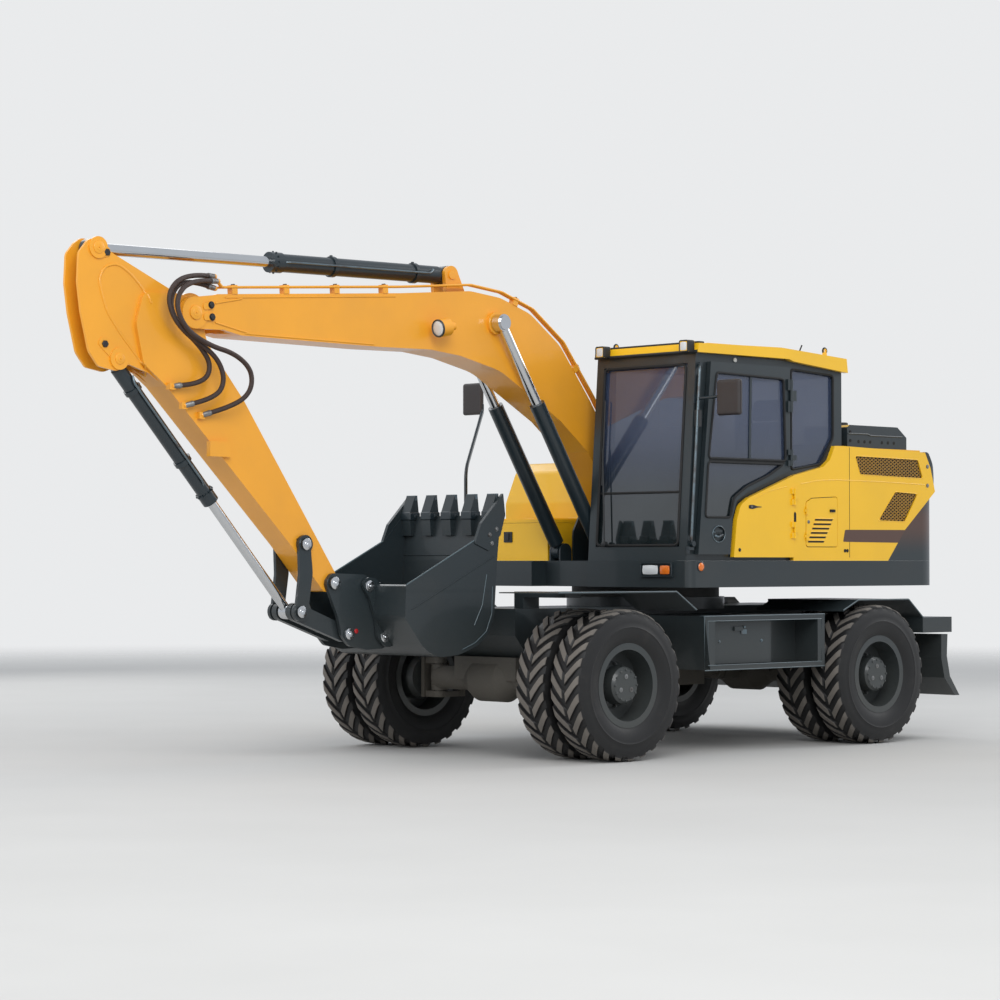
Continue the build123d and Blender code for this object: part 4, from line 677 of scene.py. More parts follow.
class ExcavatorColours(bpy.types.PropertyGroup):
    yellow: bpy.props.FloatVectorProperty(
        name="Cover yellow", description="Paint of the side covers and the roof",
        subtype="COLOR", size=4, min=0, max=1, default=linear("f6c01c"))
    amber: bpy.props.FloatVectorProperty(
        name="Boom amber", description="Paint of the boom and the arm",
        subtype="COLOR", size=4, min=0, max=1, default=linear("f0a52a"))
    charcoal: bpy.props.FloatVectorProperty(
        name="Charcoal", description="Paint of the chassis, the deck, the cab and the bucket",
        subtype="COLOR", size=4, min=0, max=1, default=linear("212b2f"))
    rim: bpy.props.FloatVectorProperty(
        name="Rim grey", description="Paint of the rims and the hubs",
        subtype="COLOR", size=4, min=0, max=1, default=linear("232d31"))
    stripe: bpy.props.FloatVectorProperty(
        name="Stripe brown", description="Colour of the swept stripes on the side covers",
        subtype="COLOR", size=4, min=0, max=1, default=linear("54382c"))
    tyre: bpy.props.FloatVectorProperty(
        name="Tyre black", description="Colour of the clean tyre rubber",
        subtype="COLOR", size=4, min=0, max=1, default=linear("131314"))


class ExcavatorSizes(bpy.types.PropertyGroup):
    tread_rows: bpy.props.IntProperty(
        name="Tread rows", description="Chevron rows round each tyre", min=12, max=60, default=26)
    tread_depth: bpy.props.FloatProperty(
        name="Tread depth", description="Height of the tread blocks above the carcass",
        unit="LENGTH", min=0.0, max=0.04, default=0.018)
    bolt_size: bpy.props.FloatProperty(
        name="Bolt size", description="Half the width across the corners of the common bolts",
        unit="LENGTH", min=0.005, max=0.03, default=0.013)


class FinishOperator(bpy.types.Operator):
    """Makes the finishes and gives them to the CAD nodes"""
    bl_idname = "excavator.finishes"
    bl_label = "Finishes"

    def execute(self, context):
        amber, yellow, charcoal = colour("amber"), colour("yellow"), colour("charcoal")
        rim, stripe = colour("rim"), colour("stripe")
        LOOK.update(
            amber=paint("amber_paint", amber, shade(amber, 0.8), 0.3, 0.1),
            yellow=paint("yellow_paint", yellow, shade(yellow, 0.85), 0.26, 0.08),
            charcoal=paint("charcoal_paint", charcoal, shade(charcoal, 0.7), 0.36, 0.10, coat=0.25),
            axle=paint("axle_paint", linear("1c2022"), linear("121415"), 0.55, 0.4, coat=0.0),
            black=paint("black_paint", linear("1c282e"), linear("121b20"), 0.3, 0.06),
            rim=paint("rim_paint", rim, shade(rim, 0.6), 0.34, 0.12),
            tyre=tread_rubber("tyre_rubber", colour("tyre"), linear("77716a")),
            chrome=plated("hard_chrome"),
            steel=bare_steel("worn_steel"),
            glass=pane("tinted_glass"),
            # The pale edge finish: painted highlights along the mudguard and box edges, and wear on the
            # bucket's edges
            edge=paint("worn_edge", linear("55646a"), linear("39464b"), 0.3, 0.05),
            rail=bare_steel("rail_steel", "6f7d84", 0.22),
            plastic=plastic("black_plastic"),
            cloth=cloth("seat_cloth"),
            iron=iron("engine_iron"),
            mesh=paint("grille_mesh", linear("b98a2c"), linear("7a5a22"), 0.45, 0.2),
            shadow=plastic("deep_shadow", "0d0b0a", 0.8),
            stripe=paint("stripe_brown", stripe, shade(stripe, 0.8), 0.35, 0.05),
            seal=rubber("seal_rubber", linear("151617"), linear("3c3b39"), 0.2),
            clear=glass_lens("clear_lens", "dfe3e4", 0.0),
            # The amber and red lenses get a faint painted glow
            amber_lens=glass_lens("amber_lens", "e8761c", 0.05),
            red_lens=glass_lens("red_lens", "b3161a", 0.05),
            white=plastic("white_plastic", "d8d8d4", 0.4),
            mirror_plastic=plastic("mirror_plastic", "2a211e", 0.4),
            silvered=plated("silvered_glass"),
            hose=guard("hose_guard", linear("2c1f1b"), linear("4a362e")),
            cheek=faded("counterweight_paint", charcoal, stripe))
        for part in frame["record"]["subparts"]:
            dress([part["node"]], SLOT_LOOKS[part["material_slot"]])
        dress(["counterweight"], "cheek")
        return {"FINISHED"}


# Wheels. Half a tyre's section as (across, radius), from its bead to its middle, and the share of
# the tread's depth by which each of its points is raised
CARCASS = np.array([(-0.105, 0.258), (-0.112, 0.290), (-0.122, 0.305), (-0.137, 0.335), (-0.145, 0.385),
                    (-0.1455, 0.398), (-0.1475, 0.401), (-0.1455, 0.404), (-0.144, 0.435), (-0.139, 0.469),
                    (-0.131, 0.490), (-0.1300, 0.4905), (-0.119, 0.499), (-0.100, 0.503), (-0.06, 0.505),
                    (-0.022, 0.506), (-0.018, 0.506), (-0.006, 0.506)])
RAISED = np.array([0] * 11 + [0.85, 0.95, 0.98, 1, 1, 1, 0.2])
# A block's edges within its row, and its height at each of them
BLOCK_EDGES = np.array([0.0, 0.05, 0.28, 0.50, 0.55, 0.78])
BLOCK_HEIGHTS = np.array([0.0, 1.0, 1.0, 1.0, 0.0, 0.0])


def tyre_shape(centre, sign, rows, depth):
    """One tyre: a carcass profile carried round the axle, with chevron blocks raised from it.

    The grid's columns run along the blocks' edges: angle = column + lean * |across|, so each block's
    edge is a grid line. radius = carcass + depth * block(column) * block(across)."""
    section = np.concatenate([CARCASS, CARCASS[::-1] * (-1, 1)])
    lift = np.concatenate([RAISED, RAISED[::-1]])
    columns = (np.arange(rows)[:, None] + BLOCK_EDGES).reshape(-1) / rows * 2 * math.pi
    across = section[:, 0]
    lean = 1.15 * np.abs(across) / AXLE_Z + (across > 0) * 0.22 * (2 * math.pi / rows)
    angle = columns + lean[:, None]
    rise = lift[:, None] * np.tile(BLOCK_HEIGHTS, rows)
    radius = section[:, 1, None] + depth * rise
    y = np.broadcast_to(across[:, None] * sign, angle.shape)
    points = np.stack([radius * np.cos(angle), y, radius * np.sin(angle)], -1) + np.asarray(centre)
    faces = grid_faces(len(section), len(columns), closed_rows=True, closed_columns=True)
    return points.reshape(-1, 3), faces if sign > 0 else faces[:, ::-1], rise.reshape(-1)


class TyreOperator(bpy.types.Operator):
    """Makes the tyres with their chevron treads, in place of the plain ones"""
    bl_idname = "excavator.tyres"
    bl_label = "Tyres"

    def execute(self, context):
        sizes = context.scene.excavator_sizes
        for axle, x in AXLES:
            for sign, side in SIDE.items():
                shapes = [tyre_shape(at(x, sign * y, AXLE_Z), -sign, sizes.tread_rows, sizes.tread_depth)
                          for y in TWIN_Y]
                piece = made_piece(f"treads_{axle}_{side}", [shape[:2] for shape in shapes], "tyre",
                                   f"wheels_{axle}_{side}", 34)
                raised = piece.data.attributes.new("raised", "FLOAT", "POINT")
                values = np.concatenate([shape[2] for shape in shapes])
                raised.data.foreach_set("value", values.astype(np.float32))
                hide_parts(f"tyres_{axle}_{side}")
        return {"FINISHED"}


def rim_spot(node, x, sign, radius, degrees):
    """The place on a rim's face at a radius and an angle from its axle."""
    a = math.radians(degrees)
    return on_side(node, x + radius * math.cos(a), AXLE_Z + radius * math.sin(a), sign, -0.001)


class WheelTrimOperator(bpy.types.Operator):
    """Adds the nuts, plugs and valve of each outer wheel"""
    bl_idname = "excavator.wheel_trim"
    bl_label = "Wheel trim"

    def execute(self, context):
        for axle, x in AXLES:
            for sign, side in SIDE.items():
                node, body, out = f"rims_{axle}_{side}", f"wheels_{axle}_{side}", (0, sign, 0)
                bright, dull = [], []
                for degrees in (90, 210, 330):
                    plug = rim_spot(node, x, sign, 0.060, degrees)
                    bright += [turned([(0, 0.017), (0.004, 0.017), (0.006, 0.012)], plug, out, 20),
                               turned([(0.004, 0.008), (0.010, 0.007)], plug, out, 6)]
                for k in range(10):
                    nut = rim_spot(node, x, sign, 0.1465, 36 * k + 18)
                    dull += bolt(nut, out, 0.0125, 0.018)
                    dull.append(turned([(0.016, 0.007), (0.026, 0.0065)], nut, out, 10))
                for k in range(12):
                    dull += bolt(rim_spot(node, x, sign, 0.106, 30 * k), out, 0.008, 0.007)
                valve = rim_spot(node, x, sign, 0.205, 62)
                stem = [valve, valve + (0.004, sign * 0.03, 0.012), valve + (0.012, sign * 0.055, 0.03)]
                bright.append(tube(rounded(stem, 0.01), 0.004, 8))
                made_piece(f"hub_plugs_{axle}_{side}", bright, "steel", body)
                made_piece(f"wheel_nuts_{axle}_{side}", dull, "rim", body)
        return {"FINISHED"}


# Hoses: their real lengths and their routes from the boom's pipes to the arm's side
HOSE_RADIUS = 0.0165
HOSES = {
    "hose_inner": (1.209, [(4.080, 0.116, 3.170), (4.300, 0.145, 3.205), (4.425, 0.158, 3.060),
                           (4.360, 0.160, 2.900), (4.180, 0.160, 2.780), (4.075, 0.158, 2.650),
                           (4.130, 0.145, 2.530), (4.290, 0.118, 2.512)]),
    "hose_middle": (1.438, [(4.080, 0.118, 3.235), (4.310, 0.172, 3.230), (4.465, 0.190, 3.090),
                            (4.398, 0.192, 2.905), (4.205, 0.192, 2.790), (4.045, 0.190, 2.690),
                            (3.985, 0.184, 2.550), (4.045, 0.165, 2.440), (4.190, 0.118, 2.400)]),
    "hose_outer": (1.626, [(4.080, 0.152, 3.200), (4.290, 0.196, 3.190), (4.425, 0.224, 3.045),
                           (4.350, 0.226, 2.870), (4.145, 0.226, 2.770), (3.935, 0.224, 2.730),
                           (3.790, 0.218, 2.630), (3.785, 0.205, 2.490), (3.895, 0.172, 2.395),
                           (4.050, 0.118, 2.345)]),
}


def spline_points(route):
    """Points along the smooth NURBS line whose control points are the route's."""
    curve = bpy.data.curves.new("route", "CURVE")
    curve.dimensions = "3D"
    line = curve.splines.new("NURBS")
    line.points.add(len(route) - 1)
    for point, place in zip(line.points, route):
        point.co = (*at(*place), 1.0)
    line.order_u, line.use_endpoint_u, line.resolution_u = 3, True, 12
    holder = bpy.data.objects.new("route", curve)
    mesh = bpy.data.meshes.new_from_object(holder)
    points = np.array([v.co for v in mesh.vertices])
    bpy.data.objects.remove(holder)
    bpy.data.meshes.remove(mesh)
    bpy.data.curves.remove(curve)
    return points


class HoseOperator(bpy.types.Operator):
    """Makes the three free hoses between the boom and the arm"""
    bl_idname = "excavator.hoses"
    bl_label = "Hoses"

    def execute(self, context):
        for name, (length, route) in HOSES.items():
            path = spline_points(route)
            piece = mesh_from(f"smooth_{name}", *tube(path, HOSE_RADIUS, 16), smooth=50)
            piece.data.materials.append(LOOK["hose"])
            at(4.2, 0.15, 3.14)
            at(4.2, 0.15, 2.62)
            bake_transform(piece)
            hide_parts(name)
        return {"FINISHED"}


def side_line(places, y):
    """A line of (x, z) places at one y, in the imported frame."""
    return [at(x, y, z) for x, z in places]


# Side covers of the upper body
GRILLES = ([(-1.153, 2.170), (-1.924, 2.160), (-1.986, 2.015), (-1.213, 2.029)],
           [(-1.637, 1.908), (-1.922, 1.897), (-1.759, 1.679), (-1.428, 1.684)])
STRIPE = [(-1.033, 1.612), (-1.757, 1.616), (-1.673, 1.518), (-1.009, 1.522)]
COVER_CREASE = [(-0.52, 1.947), (-0.70, 1.973), (-0.914, 1.984), (-1.451, 1.981), (-2.008, 1.969)]
# Each seam's x and its two heights
COVER_SEAMS = ((-1.086, 1.405, 2.232), (-0.425, 1.934, 2.006))
LATCH_CUP = [(0.072, 1.782), (0.025, 1.784), (-0.020, 1.774), (-0.066, 1.772), (-0.066, 1.768),
             (-0.020, 1.765), (0.025, 1.754), (0.072, 1.757)]
DOOR_CREASE = [(0.03, 1.82), (-0.149, 1.886), (-0.36, 1.926)]
PULL_SLOT = [(-0.441, 1.560), (-0.441, 1.728), (-0.452, 1.742), (-0.466, 1.728), (-0.466, 1.560),
             (-0.452, 1.544)]
REAR_SCREWS = [(-2.040, 1.962), (-2.040, 2.110)]


class GrilleOperator(bpy.types.Operator):
    """Makes the expanded-metal grilles in the side covers, with dark plates of painted shade behind them, and
    their rims
    """
    bl_idname = "excavator.grilles"
    bl_label = "Grilles"

    def execute(self, context):
        for sign, side in SIDE.items():
            back, front = sign * 1.2580, sign * 1.2630
            mesh, dark, rims = [], [], []
            for corners in GRILLES:
                outline = closed(outline_of(corners), 0.018)
                # A dark plate behind each grille: painted shade for the space behind the mesh
                dark.append(plate(inset(outline, 0.0008), sign * 1.2555, back))
                mesh += lattice(inset(outline, 0.002), back, front, 0.046, 0.026, 0.0055)
                rims.append(ridge([(x, sign * COVER_Y, z) for x, z in (*outline, outline[0])], 0.0032))
            made_piece(f"grille_backs_{side}", dark, "shadow", "upper", 0)
            made_piece(f"grille_mesh_{side}", mesh, "mesh", "upper", 0)
            made_piece(f"grille_rims_{side}", rims, "yellow", "upper", 40)
        return {"FINISHED"}


class SideTrimOperator(bpy.types.Operator):
    """Adds the stripe, creases, the painted shade in the seams, latches, louvres, locks and screws of the
    side covers
    """
    bl_idname = "excavator.side_trim"
    bl_label = "Side trim"

    def execute(self, context):
        out = (0, 1, 0)
        for sign, side in SIDE.items():
            stripe = plate(closed(outline_of(STRIPE), 0.010), sign * COVER_Y, sign * 1.2712)
            made_piece(f"stripe_{side}", [stripe], "stripe", "upper", 0)
            crease = ridge(side_line(COVER_CREASE, sign * 1.2690), 0.0038)
            made_piece(f"crease_{side}", [crease], "yellow", "upper", 50)
            # Dark strips along the seams: painted shade in the gaps between the panels, in the seal rubber's
            # finish
            seams = [outline_of(rectangle(x - 0.0022, x + 0.0022, low, high)) for x, low, high in COVER_SEAMS]
            seams = [plate(seam, sign * COVER_Y, sign * 1.2708) for seam in seams]
            made_piece(f"cover_seams_{side}", seams, "seal", "upper", 30)
        # The side door: a teardrop cup with a lock in it, the lower screw and the crease
        door = "side_door_left"
        face = on_side(door, 0.05, 1.769)[1]
        latch = [plate(closed(outline_of(LATCH_CUP), 0.012), face - 0.001, face + 0.0035)]
        latch += bolts_on(door, [(0.171, 1.458)], 1, 0.011)
        made_piece("door_latch_left", latch, "plastic", door, 40)
        lock = turned([(0, 0.010), (0.004, 0.010), (0.005, 0.007)], at(0.045, face + 0.0035, 1.769), out, 18)
        made_piece("door_lock_left", [lock], "steel", door, 40)
        crease = ridge(surface_path(door, DOOR_CREASE, 1, -0.0005), 0.0034)
        made_piece("door_crease_left", [crease], "yellow", door, 50)
        # The hatch: its turn latch, its lock and six slanted louvres, each with a lip
        face = on_side("hatch_left", -0.76, 1.76)[1]
        latch = [(-0.850, 1.742), (-0.908, 1.742), (-0.908, 1.762), (-0.850, 1.762)]
        slots, lips = [plate(closed(outline_of(latch), 0.007), face - 0.001, face + 0.009)], []
        for k in range(6):
            z = 1.690 - k * 0.0325
            start, end = -0.683 + 0.0158 * k, -0.886 + 0.0200 * k
            slot = outline_of([(start, z), (end, z), (end + 0.008, z - 0.013), (start + 0.008, z - 0.013)])
            slots.append(plate(closed(slot, 0.004), face - 0.002, face + 0.0012))
            edge = (slot[0] + (0.004, 0.003), slot[1] + (-0.004, 0.003))
            lips.append(ridge([(x, face + 0.001, height) for x, height in edge], 0.0042))
        made_piece("hatch_slots_left", slots, "shadow", "hatch_left", 30)
        made_piece("hatch_lips_left", lips, "yellow", "hatch_left", 50)
        place = at(-0.605, face, 1.667)
        lock = [turned([(-0.001, 0.013), (0.003, 0.013), (0.005, 0.009)], place, out, 20),
                boxed(place + (-0.0015, 0.004, -0.007), place + (0.0015, 0.006, 0.007))]
        made_piece("hatch_lock_left", lock, "steel", "hatch_left", 40)
        # The covers: the pull slot behind the side door, two key holes and the screws
        cover = "engine_covers"
        holes = [plate(closed(outline_of(PULL_SLOT), 0.006), COVER_Y, 1.2716)]
        for x in (-1.030, -1.058):
            hole = [(-0.001, 0.013), (0.003, 0.013), (0.004, 0.010)]
            holes.append(turned(hole, on_side(cover, x, 1.455), out, 18))
        made_piece("cover_holes_left", holes, "shadow", "upper", 40)
        screws = bolts_on(cover, REAR_SCREWS)
        screws += bolts_on(cover, [*REAR_SCREWS, (-0.60, 1.45), (-1.30, 1.45)], -1)
        made_piece("cover_screws_left", screws, "steel", "upper", 30)
        return {"FINISHED"}


def cab_x(z):
    """The windscreen plane's place at a height: it leans back by 105 mm over the cab's height."""
    return 0.690 - 0.105 * (z - 1.380) / 1.480


# The height of the roof's front lamps, and the windscreen plane's place at the roof
ROOF_LAMP_Z = 2.902
ROOF_FRONT = cab_x(2.860)


class LampOperator(bpy.types.Operator):
    """Adds the lenses and rims of the head lamps, side marker, roof, boom and rear lamps"""
    bl_idname = "excavator.lamps"
    bl_label = "Lamps"

    def execute(self, context):
        ahead, back, out = (1, 0, 0), (-1, 0, 0), (0, 1, 0)
        clear, amber, rims = [], [], []
        for sign in SIDE:
            clear.append(lens(at(0.7062, sign * 0.897, 1.315), 0.075, 0.033, ahead))
            amber.append(lens(at(0.7062, sign * 1.039, 1.315), 0.046, 0.031, ahead))
            rim = [at(0.706, sign * y, z) for y, z in rectangle(0.806, 1.104, 1.268, 1.362)]
            rims.append(ridge(rim + rim[:1], 0.004))
        marker = on_side("revolving_frame", 0.577, 1.337)
        amber.append(turned([(0.001, 0.030), (0.008, 0.026), (0.011, 0.014)], marker, out, 28))
        rim = [(-0.001, 0.038), (0.003, 0.038), (0.005, 0.031), (0.002, 0.029)]
        rims.append(turned(rim, marker, out, 28))
        for y in (0.372, 1.200):
            clear.append(lens(at(ROOF_FRONT + 0.0965, y, ROOF_LAMP_Z), 0.030, 0.030, ahead, 0.004))
        made_piece("clear_lenses", clear, "clear", "upper", 60)
        made_piece("amber_lenses", amber, "amber_lens", "upper", 50)
        made_piece("lamp_rims", rims, "black", "upper", 40)
        work, way = at(2.1505, 0.235, 2.9995), (0.99, 0, -0.165)
        glass = turned([(0, 0.054), (0.006, 0.050), (0.010, 0.030), (0.011, 0.004)], work, way, 32)
        made_piece("work_lens", [glass], "clear", "boom", 60)
        rim = turned([(-0.004, 0.0635), (0.006, 0.0635), (0.010, 0.060), (0.004, 0.053)], work, way, 32)
        made_piece("work_rim", [rim], "black", "boom", 40)
        stops = [lens(at(-2.2905, sign * 1.095, 0.885), 0.060, 0.040, back) for sign in SIDE]
        blinks = [lens(at(-2.2905, sign * 1.235, 0.885), 0.055, 0.040, back) for sign in SIDE]
        made_piece("stop_lenses", stops, "red_lens", "chassis", 50)
        made_piece("blink_lenses", blinks, "amber_lens", "chassis", 50)
        return {"FINISHED"}


# Cab: its side panes as (x, z) outlines, and the panes ahead and behind as (y, z) outlines
UPPER_PANE = [(cab_x(2.110) - 0.140, 2.110), (cab_x(2.725) - 0.185, 2.725), (-0.325, 2.710), (-0.345, 2.110)]
LOWER_PANE = [(cab_x(1.690) - 0.135, 1.690), (cab_x(2.085) - 0.140, 2.085), (-0.320, 2.085),
              (-0.150, 2.000), (0.090, 1.915), (0.225, 1.835), (0.262, 1.690)]
QUARTER_PANE = [(-0.455, 2.790), (-0.940, 2.765), (-0.940, 2.300), (-0.790, 2.100), (-0.455, 2.050)]
RIGHT_PANE = [(0.480, 1.480), (0.440, 2.790), (-0.950, 2.790), (-0.950, 2.000), (-0.200, 1.900),
              (-0.200, 1.480)]
WINDSCREEN = [(1.145, 2.780), (1.145, 1.490), (0.342, 1.490), (0.342, 2.780)]
REAR_PANE = [(1.145, 2.765), (1.145, 2.265), (0.342, 2.265), (0.342, 2.765)]


def seal(outline, y):
    """A rubber seal round a side pane: a thin tube along its rounded outline at y."""
    return loop([(x, y, z) for x, z in closed(outline_of(outline), 0.03, 6)], 0.009)


class CabTrimOperator(bpy.types.Operator):
    """Adds the cab's seals, sash, door handle, hand rail, pillar pipe, sensor and wiper"""
    bl_idname = "excavator.cab_trim"
    bl_label = "Cab trim"

    def execute(self, context):
        out, lock = (0, 1, 0), [(-0.012, 0.009), (-0.003, 0.009), (-0.002, 0.006)]
        front = cab_x(2.098) - 0.150
        bar = [(front, 2.088), (front, 2.108), (-0.330, 2.108), (-0.330, 2.088)]
        seals = [seal(UPPER_PANE, 1.2735), seal(LOWER_PANE, 1.2735), plate(outline_of(bar), 1.2725, 1.2755)]
        made_piece("door_seals", seals, "seal", "cab_door", 50)
        sash = [(0.055, 2.112), (0.040, 2.716), (0.018, 2.716), (0.033, 2.112)]
        made_piece("door_sash", [plate(outline_of(sash), 1.2595, 1.2650)], "black", "cab_door",
                   30)
        seals = [seal(QUARTER_PANE, 1.2325), seal(RIGHT_PANE, 0.2615),
                 loop([at(cab_x(z) + 0.001, y, z) for y, z in closed(WINDSCREEN, 0.04, 6)], 0.010),
                 loop([at(-1.0375, y, z) for y, z in closed(REAR_PANE, 0.04, 6)], 0.006),
                 tube([at(cab_x(1.870) - 0.018, y, 1.870) for y in (0.345, 1.140)], 0.009, 8)]
        made_piece("cab_seals", seals, "seal", "upper", 50)
        # Handle: a steel ring round the recess, a lever and a lock
        face = 1.273
        ring = [at(0.390 + 0.066 * math.cos(a), face + 0.001, 1.570 + 0.058 * math.sin(a))
                for a in np.linspace(0, 2 * math.pi, 41)]
        lever = [at(0.436, face - 0.002, 1.560), at(0.405, face + 0.006, 1.548),
                 at(0.352, face + 0.004, 1.566)]
        handle = [tube(ring, 0.0036, 8), ridge(lever, 0.008), turned(lock, at(0.428, face, 1.586), out, 16)]
        made_piece("door_handle", handle, "rail", "cab_door", 50)
        # Hand rail up the front pillar, the pipe behind it and its feet
        rail = [at(0.640, 1.236, 1.500), at(0.668, 1.262, 1.527), at(0.578, 1.262, 2.740),
                at(0.555, 1.236, 2.775)]
        made_piece("pillar_rail", [tube(rounded(rail, 0.03), 0.0095, 12)], "rail", "upper", 50)
        pipe = [tube([at(0.648, 1.240, 1.560), at(0.560, 1.240, 2.700)], 0.012, 12),
                boxed(at(0.570, 1.2325, 2.330), at(0.606, 1.272, 2.450))]
        made_piece("pillar_pipe", pipe, "plastic", "upper", 40)
        joints = [turned([(0, 0.020), (0.030, 0.020)], at(0.640, 1.232, 1.500), out, 16),
                  turned([(0, 0.016), (0.024, 0.016)], at(0.557, 1.232, 2.775), out, 16),
                  boxed(at(0.640, 1.233, 1.455), at(0.700, 1.262, 1.475)),
                  turned([(0, 0.012), (0.05, 0.012)], at(0.690, 1.250, 1.430), (0, 0, 1), 12)]
        made_piece("pillar_joints", joints, "black", "upper", 40)
        sensor = on_side("cab_shell", 0.168, 2.826, 1, -0.001)
        made_piece("door_sensor", [turned([(0, 0.017), (0.007, 0.017), (0.012, 0.010)], sensor, out, 20)],
                   "white", "upper", 50)
        # Wiper: an arm from the screen's foot, a blade and its spindle
        foot, tip = at(cab_x(1.50) + 0.022, 0.44, 1.50), at(cab_x(2.20) + 0.020, 0.375, 2.20)
        blade = [at(cab_x(1.93) + 0.012, 0.378, 1.93), at(cab_x(2.55) + 0.012, 0.370, 2.55)]
        spindle = turned([(-0.02, 0.020), (0.012, 0.020), (0.016, 0.014)], foot, (1, 0, 0), 16)
        wiper = [tube([foot, (foot + tip) / 2, tip], 0.006, 8), tube(blade, 0.0065, 8), spindle]
        made_piece("wiper", wiper, "plastic", "upper", 40)
        return {"FINISHED"}


class MirrorOperator(bpy.types.Operator):
    """Makes the mirrors: rounded housings, glasses that face back, arms and clamps"""
    bl_idname = "excavator.mirrors"
    bl_label = "Mirrors"

    def execute(self, context):
        housings, glasses = [], []
        for x, y, z in ((0.586, 1.550, 2.5275), (0.144, -1.550, 2.665)):
            housings.append(block_at(at(x, y, z), (0.021, 0.109, 0.1265), 0.020))
            glasses.append(mirror_glass(x - SHIFT - 0.0222, y, z, 0.092, 0.110))
        arm = [at(0.590, 1.250, 2.530), at(0.584, 1.400, 2.535), at(0.583, 1.450, 2.540)]
        foot = at(0.533, -1.220, 1.3805)
        pole = [foot, at(0.533, -1.220, 2.090), at(0.140, -1.450, 2.560), at(0.140, -1.450, 2.620)]
        arms = [tube(rounded(arm, 0.03), 0.011, 12), boxed(at(0.575, 1.2325, 2.500), at(0.622, 1.248, 2.560)),
                tube(rounded(pole, 0.08, 10), 0.014, 14),
                turned([(0, 0.034), (0.010, 0.034), (0.014, 0.022), (0.05, 0.020)], foot, (0, 0, 1), 24)]
        first = made_piece("mirror_housings", housings, "mirror_plastic", "upper", 40)
        made_piece("mirror_arms", arms, "black", "upper", 40)
        made_piece("mirror_glasses", glasses, "silvered", "upper", 30)
        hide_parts("mirrors")
        return {"FINISHED"}


# Seat: each pad's centre, size, corner, crown, sewn channels and turn
SEAT_Y = 0.747
SEAT_LEAN = math.pi / 2 - 0.20
PADS = {
    "seat_cushion": ((-0.375, 1.829), (0.500, 0.470, 0.100), 0.036, 0.014, (-0.11, 0.11), 0.0),
    "seat_back": ((-0.663, 2.148), (0.560, 0.450, 0.095), 0.036, 0.016, (-0.11, 0.11), SEAT_LEAN),
    "seat_head": ((-0.749, 2.515), (0.160, 0.250, 0.062), 0.028, 0.010, (), SEAT_LEAN),
}


def tilted(x, y, z, turn):
    """Points turned about Y by an angle."""
    cos, sin = math.cos(turn), math.sin(turn)
    return np.stack([x * cos + z * sin, y, z * cos - x * sin], -1)


def cushion(centre, size, corner, crown, grooves=(), turn=0.0):
    """A padded block: a rounded block crowned on top and pressed in along its sewn channels.

    z rises by crown * (1 - (x/a)^2) * (1 - (y/b)^2) on the top half and falls by 7 mm *
    exp(-((y - groove) / 8 mm)^2); the sides are drawn in by 5 mm at mid height; then it turns about Y."""
    half = np.asarray(size, float) / 2
    points, faces = rounded_block(half, corner, 0.008)
    x, y, z = points.T
    top = np.clip(z / half[2], 0, 1)
    inside = np.clip(1 - (x / half[0]) ** 2, 0, 1) * np.clip(1 - (y / half[1]) ** 2, 0, 1)
    z = z + top * crown * inside
    for groove in grooves:
        z = z - top * 0.007 * np.exp(-((y - groove) / 0.008) ** 2) * np.clip(inside * 6, 0, 1)
    pinch = 1 - 0.005 / half[1] * np.exp(-(z / (0.35 * half[2])) ** 2)
    return tilted(x, y * pinch, z, turn) + centre, faces


def piping(centre, size, corner, turn):
    """The sewn edge of a cushion: a thin cord round its top rim, turned with it."""
    a, b, c = np.asarray(size, float) / 2 - corner * 0.30
    x, y = closed(rectangle(-a, a, -b, b), corner * 1.6, 8).T
    return loop(tilted(x, y, np.full(len(x), c), turn) + centre, 0.0045)


class SeatOperator(bpy.types.Operator):
    """Makes the driver's seat: cushions with crowns and sewn channels, bellows and arm rests"""
    bl_idname = "excavator.seat"
    bl_label = "Seat"

    def execute(self, context):
        first = None
        for name, ((x, z), size, corner, crown, grooves, turn) in PADS.items():
            place = at(x, SEAT_Y, z)
            pad = [cushion(place, size, corner, crown, grooves, turn), piping(place, size, corner, turn)]
            piece = made_piece(name, pad, "cloth", "upper", 50)
            first = first or piece
        posts = []
        for sign in (-1, 1):
            pad = cushion(at(-0.370, SEAT_Y + sign * 0.285, 2.090), (0.370, 0.066, 0.056), 0.024, 0.004)
            rest = made_piece(f"arm_rest_{SIDE[sign]}", [pad], "cloth", "upper", 50)
            post = side_line([(-0.49, 1.800), (-0.49, 2.030), (-0.47, 2.062)], SEAT_Y + sign * 0.268)
            posts.append(tube(rounded(post, 0.03), 0.014, 12))
        made_piece("arm_rest_posts", posts, "plastic", "upper", 40)
        # Bellows: a rounded block whose sides go in and out five times
        points, faces = rounded_block((0.215, 0.185, 0.176), 0.03, 0.012)
        z = points[:, 2]
        fold = 1 - 0.045 * (1 + np.cos(z / 0.176 * math.pi * 5)) * (np.abs(z) < 0.17)
        points = points * np.stack([fold, fold, np.ones_like(fold)], 1) + at(-0.400, SEAT_Y, 1.600)
        made_piece("seat_bellows", [(points, faces)], "seal", "upper", 50)
        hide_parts("seat")
        return {"FINISHED"}


# Front: each pin's node, place and radius, and the nodes whose sides its end may lie on
PINS = (("guide_levers", 3.242, 1.491, 0.040), ("coupler", 2.998, 1.229, 0.042),
        ("bucket_link", 3.284, 1.037, 0.040), ("coupler", 2.864, 0.882, 0.038),
        ("bucket", 2.703, 1.207, 0.038), ("bucket", 2.566, 0.856, 0.036))
LINKAGE = ("arm", "guide_levers", "bucket_link", "coupler")
